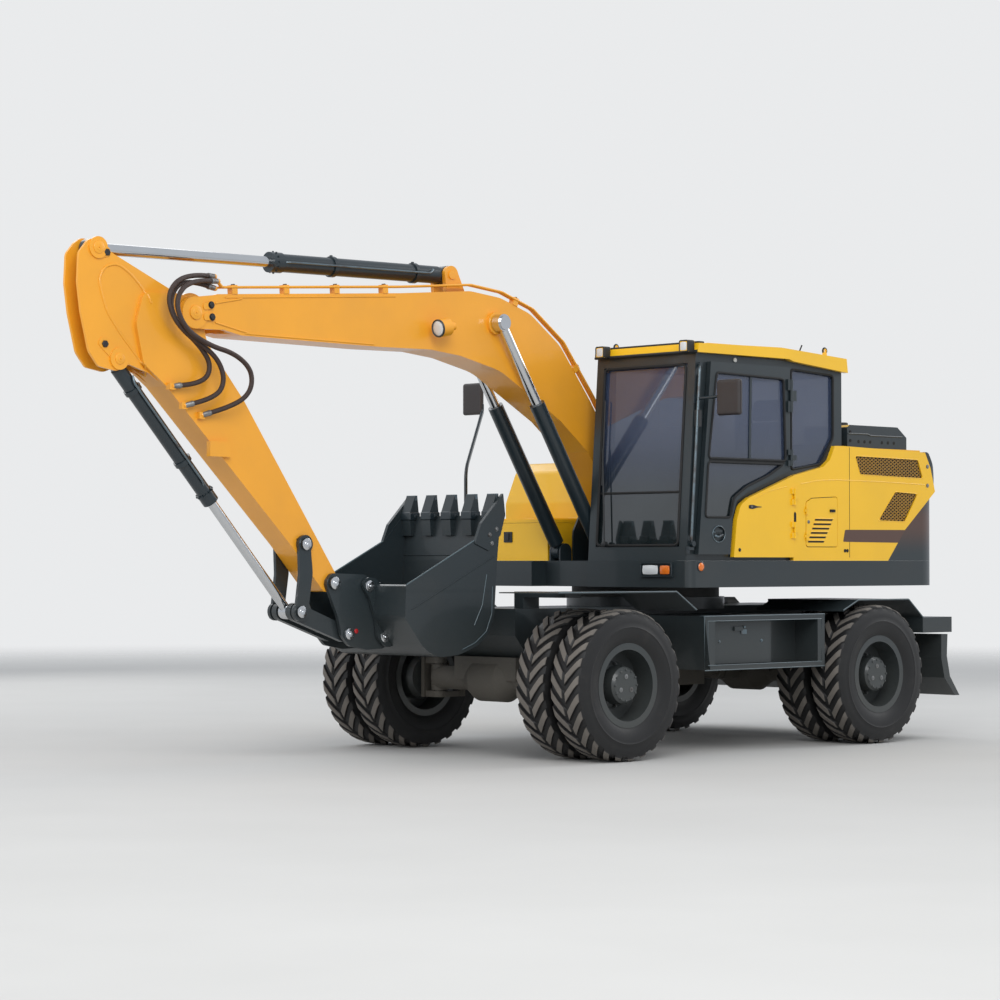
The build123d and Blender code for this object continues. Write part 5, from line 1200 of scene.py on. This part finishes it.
# The places of a keeper's bolt and of its pin
BOOM_KEEPERS = (((4.062, 3.045), (4.125, 3.030)), ((4.054, 2.967), (4.120, 2.965)))
ARM_KEEPERS = (((4.833, 3.336), (4.900, 3.362)), ((4.846, 2.753), (4.735, 2.664)))
DOUBLER = [(4.492, 2.569), (4.581, 2.674), (4.715, 2.815), (4.828, 2.958), (4.871, 3.073), (4.892, 3.160),
           (4.845, 3.248), (4.747, 3.271), (4.648, 3.216), (4.547, 3.122), (4.502, 3.034)]
# Each weld seam's two ends, how many points it has and its height above the plate
BOOM_SEAMS = (((3.94, 3.103776), (2.45, 3.211354), 10, -0.001), ((3.94, 2.878), (2.65, 2.86768), 9, -0.001),
              ((4.02, 3.060), (3.80, 3.104), 2, 0.0), ((4.02, 2.935), (3.74, 2.880), 2, 0.0))


def surface_path(node, line, sign, lift):
    """Points of a node's side beside a line of (x, z) places, so that a bead can follow them."""
    return [on_side(node, x, z, sign, lift) for x, z in line]


def pin_face(place, sign, radius, cap=0.006):
    """A pin's end: a chamfered disc with a shallow ring and a grease nipple."""
    axis = (0, sign, 0)
    return [turned([(-0.003, radius), (cap, radius), (cap + 0.002, radius * 0.9)], place, axis, 28),
            turned([(cap + 0.002, radius * 0.55), (cap + 0.004, radius * 0.5)], place, axis, 20),
            turned([(cap + 0.002, 0.005), (cap + 0.012, 0.004)], place, axis, 8)]


def pin_reach(node, x, z, sign):
    """How far out the pieces round a pin reach, by rays at the pin and around it."""
    around = [(x + 0.043 * math.cos(a), z + 0.043 * math.sin(a)) for a in range(6)]
    starts = side_line([(x, z), *around], sign * 3)
    nodes = (node,) if node == "bucket" else LINKAGE
    hits = [meets(other, start, (0, -sign, 0)) for other in nodes for start in starts]
    return max(sign * hit[1] for hit in hits if hit is not None)


def keeper(bolt_place, pin, width, behind, past, flare, corner):
    """The outline of a plate that keeps a pin from turning: it widens from its bolt to the pin."""
    start, end = np.array(bolt_place), np.array(pin)
    way = end - start
    across = unit((-way[1], way[0])) * width
    start, end = start - way * behind, end + way * past
    corners = [start - across, end - across * flare, end + across * flare, start + across]
    return closed(outline_of(corners), corner)


class FrontTrimOperator(bpy.types.Operator):
    """Adds the pins, keepers, bolts, seams and doubler edges of the boom, the arm and the bucket's links"""
    bl_idname = "excavator.front_trim"
    bl_label = "Front trim"

    def execute(self, context):
        for sign, side in SIDE.items():
            heads = bolts_on("arm", [place for place, pin in ARM_KEEPERS], sign, 0.024)
            made_piece(f"arm_bolts_{side}", heads, "plastic", "arm", 30)
            boom_y, arm_y = on_side("boom", 4.09, 3.0, sign)[1], on_side("arm", 4.80, 3.0, sign)[1]
            heads = [bolt(at(x, boom_y + sign * 0.006, z), (0, sign, 0), 0.020, 0.014)
                     for (x, z), pin in BOOM_KEEPERS]
            made_piece(f"boom_bolts_{side}", heads[0] + heads[1], "plastic", "boom", 30)
            faces = pin_face(on_side("boom", 4.185, 2.989, sign), sign, 0.046, 0.004)
            faces += pin_face(on_side("boom", 1.500, 3.080, sign), sign, 0.036, 0.004)
            made_piece(f"boom_pin_faces_{side}", faces, "amber", "boom", 40)
            faces = pin_face(on_side("arm", 4.900, 3.362, sign), sign, 0.040, 0.004)
            faces += pin_face(on_side("arm", 4.735, 2.664, sign), sign, 0.036, 0.004)
            made_piece(f"arm_pin_faces_{side}", faces, "amber", "arm", 40)
            keepers = [keeper(*ends, 0.022, 0.35, 0.0, 1.0, 0.018) for ends in BOOM_KEEPERS]
            keepers = [plate(outline, boom_y - sign * 0.001, boom_y + sign * 0.007) for outline in keepers]
            made_piece(f"boom_keepers_{side}", keepers, "amber", "boom", 40)
            keepers = [keeper(*ends, 0.034, 0.32, 0.3, 1.2, 0.03) for ends in ARM_KEEPERS]
            keepers = [plate(outline, arm_y - sign * 0.001, arm_y + sign * 0.005) for outline in keepers]
            made_piece(f"arm_keepers_{side}", keepers, "amber", "arm", 40)
            edge = surface_path("arm", rounded(DOUBLER, 0.05, 5), sign, -0.001)
            made_piece(f"arm_doubler_{side}", [tube(edge, 0.0085, 10)], "amber", "arm", 60)
            seams = [ridge(surface_path("boom", np.linspace(start, end, count), sign, lift), 0.007)
                     for start, end, count, lift in BOOM_SEAMS]
            made_piece(f"boom_seams_{side}", seams, "amber", "boom", 60)
            for number, (node, x, z, radius) in enumerate(PINS):
                # Both bucket pins end at its ears, also where its side plate lies farther out
                near = PINS[4] if node == "bucket" else PINS[number]
                place = at(x, sign * pin_reach(*near[:3], sign), z)
                made_piece(f"pin_{number}_{side}", pin_face(place, sign, radius), "chrome", body_of(node),
                           40)
        dot = turned([(-0.002, 0.016), (0.006, 0.016), (0.008, 0.010)], on_side("coupler", 2.80, 0.90),
                     (0, 1, 0), 18)
        made_piece("coupler_mark", [dot], "red_lens", body_of("coupler"), 40)
        return {"FINISHED"}


class BucketTrimOperator(bpy.types.Operator):
    """Adds the bucket's welds, worn edges, tooth pockets, tooth tips and side cutter bolts"""
    bl_idname = "excavator.bucket_trim"
    bl_label = "Bucket trim"

    def execute(self, context):
        welds, edges, bolts = [], [], []
        for sign in SIDE:
            y = FRONT_Y + sign * 0.490
            welds.append(ridge(side_line([(2.600, 1.050), (1.830, 1.410)], y), 0.004))
            edges.append(ridge(side_line([(1.900, 1.285), (1.943, 1.070), (2.018, 0.933)], y), 0.0035))
            worn = [(1.845, 1.20), (1.852, 1.010), (1.905, 0.888), (2.010, 0.812), (2.130, 0.768)]
            edges.append(ridge(side_line(worn, y + sign * 0.0005), 0.0032))
            lip = side_line([(2.640, 1.2155), (2.013, 1.5185)], y - sign * 0.010)
            edges.append(tube(lip, 0.0055, 8))
            for place in side_line([(1.880, 1.560), (1.860, 1.500), (1.815, 1.600)], y + sign * 0.010):
                bolts += bolt(place, (0, sign, 0), 0.014, 0.010)
        welds.append(tube([at(1.817, y, 1.420) for y in (-0.498, 0.438)], 0.005, 8))
        made_piece("bucket_welds", welds, "charcoal", "bucket", 60)
        made_piece("bucket_worn_edges", edges, "edge", "bucket", 60)
        made_piece("bucket_bolts", bolts, "steel", "bucket", 30)
        caps, tips = [], []
        for place in range(-2, 3):
            y = FRONT_Y + place * 0.212
            caps.append(block_at(at(1.795, y, 1.700), (0.050, 0.054, 0.030), 0.010))
            for sign in (-1, 1):
                caps.append(block_at(at(1.795, y + sign * 0.050, 1.700), (0.012, 0.012, 0.012), 0.004))
            tips.append(boxed(at(1.769, y - 0.0463, 1.815), at(1.7915, y + 0.0463, 1.8508)))
        made_piece("tooth_pockets", caps, "black", "bucket", 40)
        made_piece("tooth_tips", tips, "rail", "bucket", 30)
        return {"FINISHED"}


# The upper edges of the front and rear mudguards, and the outer and inner frame of a side box, along which
# pale tubes are painted highlights
GUARD_EDGES = ([(2.040, 1.169), (0.875, 1.169), (0.667, 1.039)],
               [(-0.960, 1.014), (-1.140, 1.091), (-1.750, 1.091), (-1.930, 0.949)])
BOX_FRAME = [(0.530, 0.985), (0.530, 0.600), (-0.800, 0.600), (-0.800, 0.985)]
BOX_PANEL = [(0.495, 0.950), (0.495, 0.635), (-0.765, 0.635), (-0.765, 0.950)]


class ChassisTrimOperator(bpy.types.Operator):
    """Adds the pale edges of the mudguards and boxes, which are painted highlights, the box latches, step
    treads and blade bolts
    """
    bl_idname = "excavator.chassis_trim"
    bl_label = "Chassis trim"

    def execute(self, context):
        edges, treads = [], []
        for sign, side in SIDE.items():
            # Pale tubes along the mudguards' upper edges and round the box frames: painted highlights where
            # light catches the edges
            for line in GUARD_EDGES:
                edge = side_line([(x, z - 0.004) for x, z in line], sign * 1.3085)
                edges.append(tube(rounded(edge, 0.01, 4), 0.0048, 8))
            edges.append(loop(side_line(BOX_FRAME, sign * 1.2605), 0.0042))
            edges.append(loop(side_line(BOX_PANEL, sign * 1.2615), 0.0032))
            node = f"box_lid_{side}"
            hit = on_side(node, 0.04, 0.867, sign)
            latch = closed(outline_of(rectangle(0.01, 0.07, 0.850, 0.884)), 0.006)
            lock = hit + (0, sign * 0.004, 0.034)
            latch = [plate(latch, hit[1] - sign * 0.001, hit[1] + sign * 0.006),
                     turned([(0, 0.010), (0.010, 0.010), (0.012, 0.007)], lock, (0, sign, 0), 18)]
            latch += bolts_on(node, [(0.30, 0.80), (-0.16, 0.80)], sign, 0.010)
            made_piece(f"box_latch_{side}", latch, "rail", body_of(node), 30)
            for k in range(26):
                x = -0.785 + k * 0.052
                treads.append(boxed(at(x, sign * 1.235, 0.9845), at(x + 0.026, sign * 1.262, 0.9895)))
        made_piece("chassis_edges", edges, "edge", "chassis", 60)
        made_piece("step_treads", treads, "edge", "chassis", 30)
        blade = []
        for y in np.linspace(-1.2, 1.2, 9):
            hit = meets("dozer_blade", at(-3.2, y, 0.375), (1, 0, 0))
            blade += bolt(hit, (-1, 0, 0), 0.016, 0.010)
        made_piece("blade_bolts", blade, "edge", body_of("dozer_blade"), 30)
        return {"FINISHED"}


class RoofTrimOperator(bpy.types.Operator):
    """Adds the black lamp housings, and the roof's front strip, lifting rings and antenna"""
    bl_idname = "excavator.roof_trim"
    bl_label = "Roof trim"

    def execute(self, context):
        front = ROOF_FRONT + 0.025
        housings = []
        for y in (0.332, 1.160):
            middle = at(front + 0.0315, y + 0.040, ROOF_LAMP_Z)
            housings.append(block_at(middle, (0.036, 0.0435, 0.0435), 0.012))
            rim = closed(rectangle(y + 0.001, y + 0.079, 2.863, 2.941), 0.012)
            housings.append(loop([at(front + 0.0695, a, b) for a, b in rim], 0.005))
        made_piece("lamp_housings", housings, "plastic", "upper", 40)
        strips = [tube([at(front + 0.002, y, 2.866) for y in (0.262, 1.270)], 0.010, 10),
                  block_at(at(front - 0.05, 0.765, 2.932), (0.030, 0.500, 0.008), 0.006, 0.05)]
        for x, y in ((0.460, 0.322), (-0.900, 0.322), (-0.900, 1.180)):
            ring = [at(x + 0.0205 * math.cos(a), y + 0.006, 2.952 + 0.0205 * math.sin(a))
                    for a in np.linspace(-0.6, math.pi + 0.6, 17)]
            strips.append(tube(ring, 0.0075, 8))
        strips.append(tube([at(-0.640, 1.140, 2.900), at(-0.680, 1.150, 2.985)], 0.0055, 8))
        strips.append(turned([(0, 0.018), (0.012, 0.014)], at(-0.650, 1.1425, 2.921), (0, 0, 1), 16))
        made_piece("roof_strips", strips, "plastic", "upper", 50)
        return {"FINISHED"}


# The outer face of the exhaust box, and the edge of its lid
EXHAUST_Y = 1.1825
EXHAUST_EDGE = [(-1.178, 2.343), (-1.420, 2.343), (-1.440, 2.334), (-1.838, 2.334)]


class UpperTrimOperator(bpy.types.Operator):
    """Adds the exhaust box's charcoal skin, holes and outlet, the hood's ribs, the rear panel's latches,
    louvres and reflectors, the tank's cap and the tool box's latch"""
    bl_idname = "excavator.upper_trim"
    bl_label = "Upper trim"

    def execute(self, context):
        hood, ahead, up = body_of("hood"), (1, 0, 0), (0, 0, 1)
        low = 2.2365
        top = meets("hood", at(-1.50, 0.97, 5.0), (0, 0, -1))[2] + 0.001
        rear = meets("hood", at(-4.00, 0.97, 2.28), ahead)[0] + SHIFT - 0.0015
        skin = [(-1.1695, low), (-1.1695, 2.388), (-1.2010, top), (-1.781, top), (rear, 2.331), (rear, low)]
        made_piece("exhaust_skin", [plate(outline_of(skin), 0.7575, EXHAUST_Y)], "charcoal", hood,
                   30, bevel=0.002)
        made_piece("exhaust_lid_edge", [ridge(side_line(EXHAUST_EDGE, EXHAUST_Y), 0.006)], "charcoal", hood,
                   50)
        places = side_line([(-1.206, 2.356), (-1.206, 2.290)], 1.1822)
        holes = [turned([(0, 0.012), (0.003, 0.012)], place, (0, 1, 0), 16) for place in places]
        places = [at(x, 1.1822, 2.285) for x in (-1.305, -1.377, -1.446, -1.589, -1.662, -1.736)]
        holes += [turned([(0, 0.013), (0.0015, 0.013)], place, (0, 1, 0), 16) for place in places]
        for k in range(5):
            z = 2.265 + 0.022 * k
            holes.append(boxed(at(rear - 0.0025, 0.82, z), at(rear + 0.001, 1.12, z + 0.008)))
        made_piece("exhaust_holes", holes, "shadow", hood, 40)
        pipe = [(0, 0.052), (0.030, 0.052), (0.034, 0.046), (0.030, 0.042)]
        made_piece("exhaust_outlet", [turned(pipe, at(-1.42, 0.92, top - 0.001), up, 32)], "iron", hood,
                   40)
        ribs = [ridge([at(x, y, 2.2495) for x in (-1.14, -1.98)], 0.004) for y in (-0.60, 0.60)]
        made_piece("hood_ribs", ribs, "yellow", hood, 50)
        # Reflectors on the counterweight, and the rear panel's two latches and its louvres
        hits = [meets("counterweight", at(-4.0, y, 1.55), ahead) for y in (-0.875, 0.875)]
        red = [lens(hit + (-0.0005, 0, 0), 0.060, 0.024, (-1, 0, 0), 0.004) for hit in hits]
        made_piece("rear_reflectors", red, "red_lens", body_of("counterweight"), 40)
        dark = []
        for y in (-0.30, 0.30):
            hit = meets("bulkheads", at(-4.0, y, 2.06), ahead)
            dark += [turned([(-0.004, 0.024), (0.006, 0.024), (0.010, 0.018)], hit, (-1, 0, 0.3), 24),
                     boxed(hit + (-0.018, -0.004, -0.016), hit + (-0.004, 0.004, 0.016))]
        for k in range(9):
            for sign in SIDE:
                hit = meets("bulkheads", at(-4.0, sign * 0.95, 1.945 + 0.014 * k), ahead)
                dark.append(boxed(hit + (-0.0035, -0.16, -0.003), hit + (0.004, 0.16, 0.003)))
        made_piece("rear_louvres", dark, "shadow", "upper", 40)
        # The tank's filler cap and the tool box's latch
        cap = [(-0.004, 0.062), (0.012, 0.062), (0.014, 0.050), (0.040, 0.048), (0.044, 0.040)]
        place = meets("tank", at(-0.20, -0.80, 5.0), (0, 0, -1))
        made_piece("tank_cap", [turned(cap, place, up, 32)], "plastic", body_of("tank"), 40)
        front = meets("toolbox", at(4.0, -0.755, 1.55), (-1, 0, 0))
        latch = [boxed(front + (0, -0.045, -0.03), front + (0.008, 0.045, 0.05)),
                 boxed(front + (0.006, -0.015, -0.015), front + (0.016, 0.015, 0.04))]
        made_piece("toolbox_latch", latch, "plastic", body_of("toolbox"), 30, bevel=0.002)
        return {"FINISHED"}


# Each barrel's foot and its rod's pin, its radius, its clamps' and its gland's distances from the foot
BARRELS = {
    "arm_barrel": ((1.855, 3.410), (4.900, 3.362), 0.066, (0.30, 1.05), 1.56),
    "bucket_barrel": ((4.735, 2.664), (3.284, 1.037), 0.054, (0.25, 0.85), 1.12),
}
# The boom pipes' line, and on its parts, between two of its places, the clamps' distances
PIPE_LINE = np.array([(4.020, 3.120), (2.400, 3.237), (1.740, 3.297), (1.445, 3.268), (1.145, 3.172),
                      (0.838, 2.957), (0.525, 2.568), (0.150, 2.044)])
PIPE_CLAMPS = ((0, (0.120, 0.560, 1.000, 1.440)), (3, (0.140,)), (5, (0.250,)), (6, (0.330,)))
FERRULE = [(-0.060, 0.0182), (-0.020, 0.0188), (-0.018, 0.0205), (-0.006, 0.0205), (-0.004, 0.0188),
           (0.0, 0.0178)]


def eye_cover(node, pin):
    """A dark sleeve over a rod's eye: rays from above and beside give its radius and its half width."""
    centre = at(pin[0], FRONT_Y, pin[1])
    radius = meets(node, centre + (0, 0, 3), (0, 0, -1))[2] - centre[2] + 0.0015
    beside = meets(node, centre + (0, 3, radius * 0.75), (0, -1, 0))
    width = beside[1] - centre[1] + 0.001
    sleeve = [(-width, radius * 0.6), (-width, radius), (width, radius), (width, radius * 0.6)]
    return turned(sleeve, centre, (0, 1, 0), 40)


class CylinderTrimOperator(bpy.types.Operator):
    """Adds the cylinders' clamps, gland bolts, steel lines and eye cover, and the hoses' ferrules"""
    bl_idname = "excavator.cylinder_trim"
    bl_label = "Cylinder trim"

    def execute(self, context):
        for node, (foot, pin, radius, clamps, gland) in BARRELS.items():
            a, b = at(foot[0], FRONT_Y, foot[1]), at(pin[0], FRONT_Y, pin[1])
            way = unit(b - a)
            up = np.array((-way[2], 0, way[0])) * math.copysign(1, way[0])
            clamp = [(-0.016, radius + 0.0002), (-0.016, radius + 0.006), (0.016, radius + 0.006),
                     (0.016, radius + 0.0002)]
            bands = []
            for d in clamps:
                bands.append(turned(clamp, a + way * d, way, 32))
                bands += bolt(a + way * d + up * (radius + 0.004), up, 0.011, 0.010)
            for k in range(12):
                angle = k * math.pi / 6
                spoke = math.cos(angle) * up + math.sin(angle) * np.cross(way, up)
                place = a + way * gland + spoke * (radius + 0.001)
                bands.append(turned([(0, 0.0075), (0.010, 0.0070)], place, spoke, 8))
            made_piece(f"{node}_bands", bands, "black", body_of(node), 40)
            if node == "arm_barrel":
                made_piece("arm_rod_eye", [eye_cover("arm_rod", pin)], "black", body_of("arm_rod"),
                           40)
            side = np.array((0, radius + 0.012, 0))
            line = [a + way * 0.16 + up * 0.03 + side * 0.8, a + way * 0.20 + side,
                    a + way * (gland - 0.10) + side, a + way * (gland - 0.06) + side * 0.7]
            made_piece(f"{node}_line", [tube(rounded(line, 0.03), 0.0075, 10)], "rail", body_of(node),
                       50)
        nuts = []
        for place, distances in PIPE_CLAMPS:
            end, start = PIPE_LINE[place:place + 2]
            way = unit(end - start)
            out = np.array((-way[1], way[0])) * math.copysign(1, way[0])
            for d in distances:
                x, z = start + way * (d + 0.0225) + out * 0.0585
                for y in (0.097, 0.115):
                    nuts += bolt(at(x, y, z), (out[0], 0, out[1]), 0.008, 0.008)
        made_piece("pipe_clamp_bolts", nuts, "plastic", "boom", 30)
        for rider, last, before in (("boom", 0, 1), ("arm", -1, -2)):
            ferrules = []
            for length, route in HOSES.values():
                end, inner = at(*route[last]), at(*route[before])
                ferrules.append(turned(FERRULE, end, inner - end, 20))
            made_piece(f"ferrules_{rider}", ferrules, "steel", rider, 40)
        return {"FINISHED"}


# Stage: each lamp's place, size and power, and the photograph's camera
LAMPS = {
    "key_lamp": ((8, 11, 10), 9, 1250), "fill_lamp": ((12, -3, 7), 10, 450),
    "back_lamp": ((-11, 3, 8), 8, 550), "right_lamp": ((-2, -12, 7), 9, 450),
}
CAMERA_PLACE = (14.888, 14.173, 1.380)
CAMERA_YAW, CAMERA_PITCH = math.radians(43.725), math.radians(1.283)
# The focal length as a share of the picture's width, and the sensor's width in millimetres
FOCAL_SHARE, SENSOR_WIDTH = 2.7119, 36.0


class StageOperator(bpy.types.Operator):
    """Makes the pale floor, the soft lights and the camera at the photograph's angle"""
    bl_idname = "excavator.stage"
    bl_label = "Stage"

    def execute(self, context):
        scene = context.scene
        corners = [(x, y, 0) for x, y in rectangle(-60, 60, -60, 60)]
        floor = mesh_from("floor", corners, [(0, 1, 2, 3)], 0)
        f = Finish("pale_floor")
        tone = f.noise(0.8, 3.0)
        x, y, z = f.axes()
        away = (x * x + y * y).step(90.0, 700.0)
        base = f.mix(tone, linear("bcbbb8"), linear("c4c3c0"))
        f.put(Base_Color=base, Roughness=0.85, Alpha=1.0 - away)
        floor.data.materials.append(f.material)
        world = bpy.data.worlds.new("soft_sky")
        scene.world = world
        world.use_nodes = True
        tree = world.node_tree
        light = tree.nodes["Background"]
        light.inputs[0].default_value, light.inputs[1].default_value = (0.80, 0.84, 0.90, 1), 0.75
        seen = tree.nodes.new("ShaderNodeBackground")
        seen.inputs[0].default_value = (0.82, 0.83, 0.84, 1)
        rays, blend = tree.nodes.new("ShaderNodeLightPath"), tree.nodes.new("ShaderNodeMixShader")
        tree.links.new(rays.outputs["Is Camera Ray"], blend.inputs[0])
        tree.links.new(light.outputs[0], blend.inputs[1])
        tree.links.new(seen.outputs[0], blend.inputs[2])
        tree.links.new(blend.outputs[0], tree.nodes["World Output"].inputs[0])
        for name, (place, size, power) in LAMPS.items():
            lamp = bpy.data.lights.new(name, "AREA")
            lamp.energy, lamp.size = power, size
            holder = bpy.data.objects.new(name, lamp)
            scene.collection.objects.link(holder)
            holder.location = place
            aim = np.array((0, 0, 1.2)) - place
            tilt = math.atan2(math.hypot(aim[0], aim[1]), -aim[2])
            holder.rotation_euler = (tilt, 0, math.atan2(aim[1], aim[0]) - math.pi / 2)
        level = math.cos(CAMERA_PITCH)
        ahead = np.array((-math.sin(CAMERA_YAW) * level, -math.cos(CAMERA_YAW) * level,
                          math.sin(CAMERA_PITCH)))
        right = unit(np.cross(ahead, (0, 0, 1.0)))
        up = np.cross(right, ahead)
        data = bpy.data.cameras.new("photo_camera")
        data.sensor_fit, data.sensor_width = "HORIZONTAL", SENSOR_WIDTH
        data.lens, data.clip_end = FOCAL_SHARE * SENSOR_WIDTH, 200.0
        camera = bpy.data.objects.new("photo_camera", data)
        scene.collection.objects.link(camera)
        turn = Matrix([(*row, 0) for row in np.stack([right, up, -ahead], 1)] + [(0, 0, 0, 1)])
        camera.matrix_world = Matrix.Translation(at(*CAMERA_PLACE)) @ turn
        scene.camera = camera
        scene.view_settings.view_transform = "Standard"
        return {"FINISHED"}


class ExcavatorPanel(bpy.types.Panel):
    """Lists the sizes, the colours and the pieces"""
    bl_idname = "VIEW3D_PT_excavator"
    bl_label = "Excavator"
    bl_space_type = "VIEW_3D"
    bl_region_type = "UI"
    bl_category = "Excavator"

    def draw(self, context):
        for group in (context.scene.excavator_sizes, context.scene.excavator_colours):
            for name in type(group).__annotations__:
                self.layout.prop(group, name)
        for operator in OPERATORS:
            self.layout.operator(operator.bl_idname)


OPERATORS = (FinishOperator, StageOperator, HoseOperator, TyreOperator, WheelTrimOperator, GrilleOperator,
             SideTrimOperator, LampOperator, CabTrimOperator, RoofTrimOperator, MirrorOperator, SeatOperator,
             FrontTrimOperator, BucketTrimOperator, ChassisTrimOperator, UpperTrimOperator,
             CylinderTrimOperator)
CLASSES = (ExcavatorColours, ExcavatorSizes, *OPERATORS, ExcavatorPanel)


def register():
    for kind in CLASSES:
        bpy.utils.register_class(kind)
    bpy.types.Scene.excavator_colours = bpy.props.PointerProperty(type=ExcavatorColours)
    bpy.types.Scene.excavator_sizes = bpy.props.PointerProperty(type=ExcavatorSizes)


def unregister():
    del bpy.types.Scene.excavator_colours, bpy.types.Scene.excavator_sizes
    for kind in reversed(CLASSES):
        bpy.utils.unregister_class(kind)


def main():
    register()
    for operator in OPERATORS:
        group, name = operator.bl_idname.split(".")
        getattr(getattr(bpy.ops, group), name)()
    bpy.context.view_layer.update()


if __name__ == "__main__":
    main()
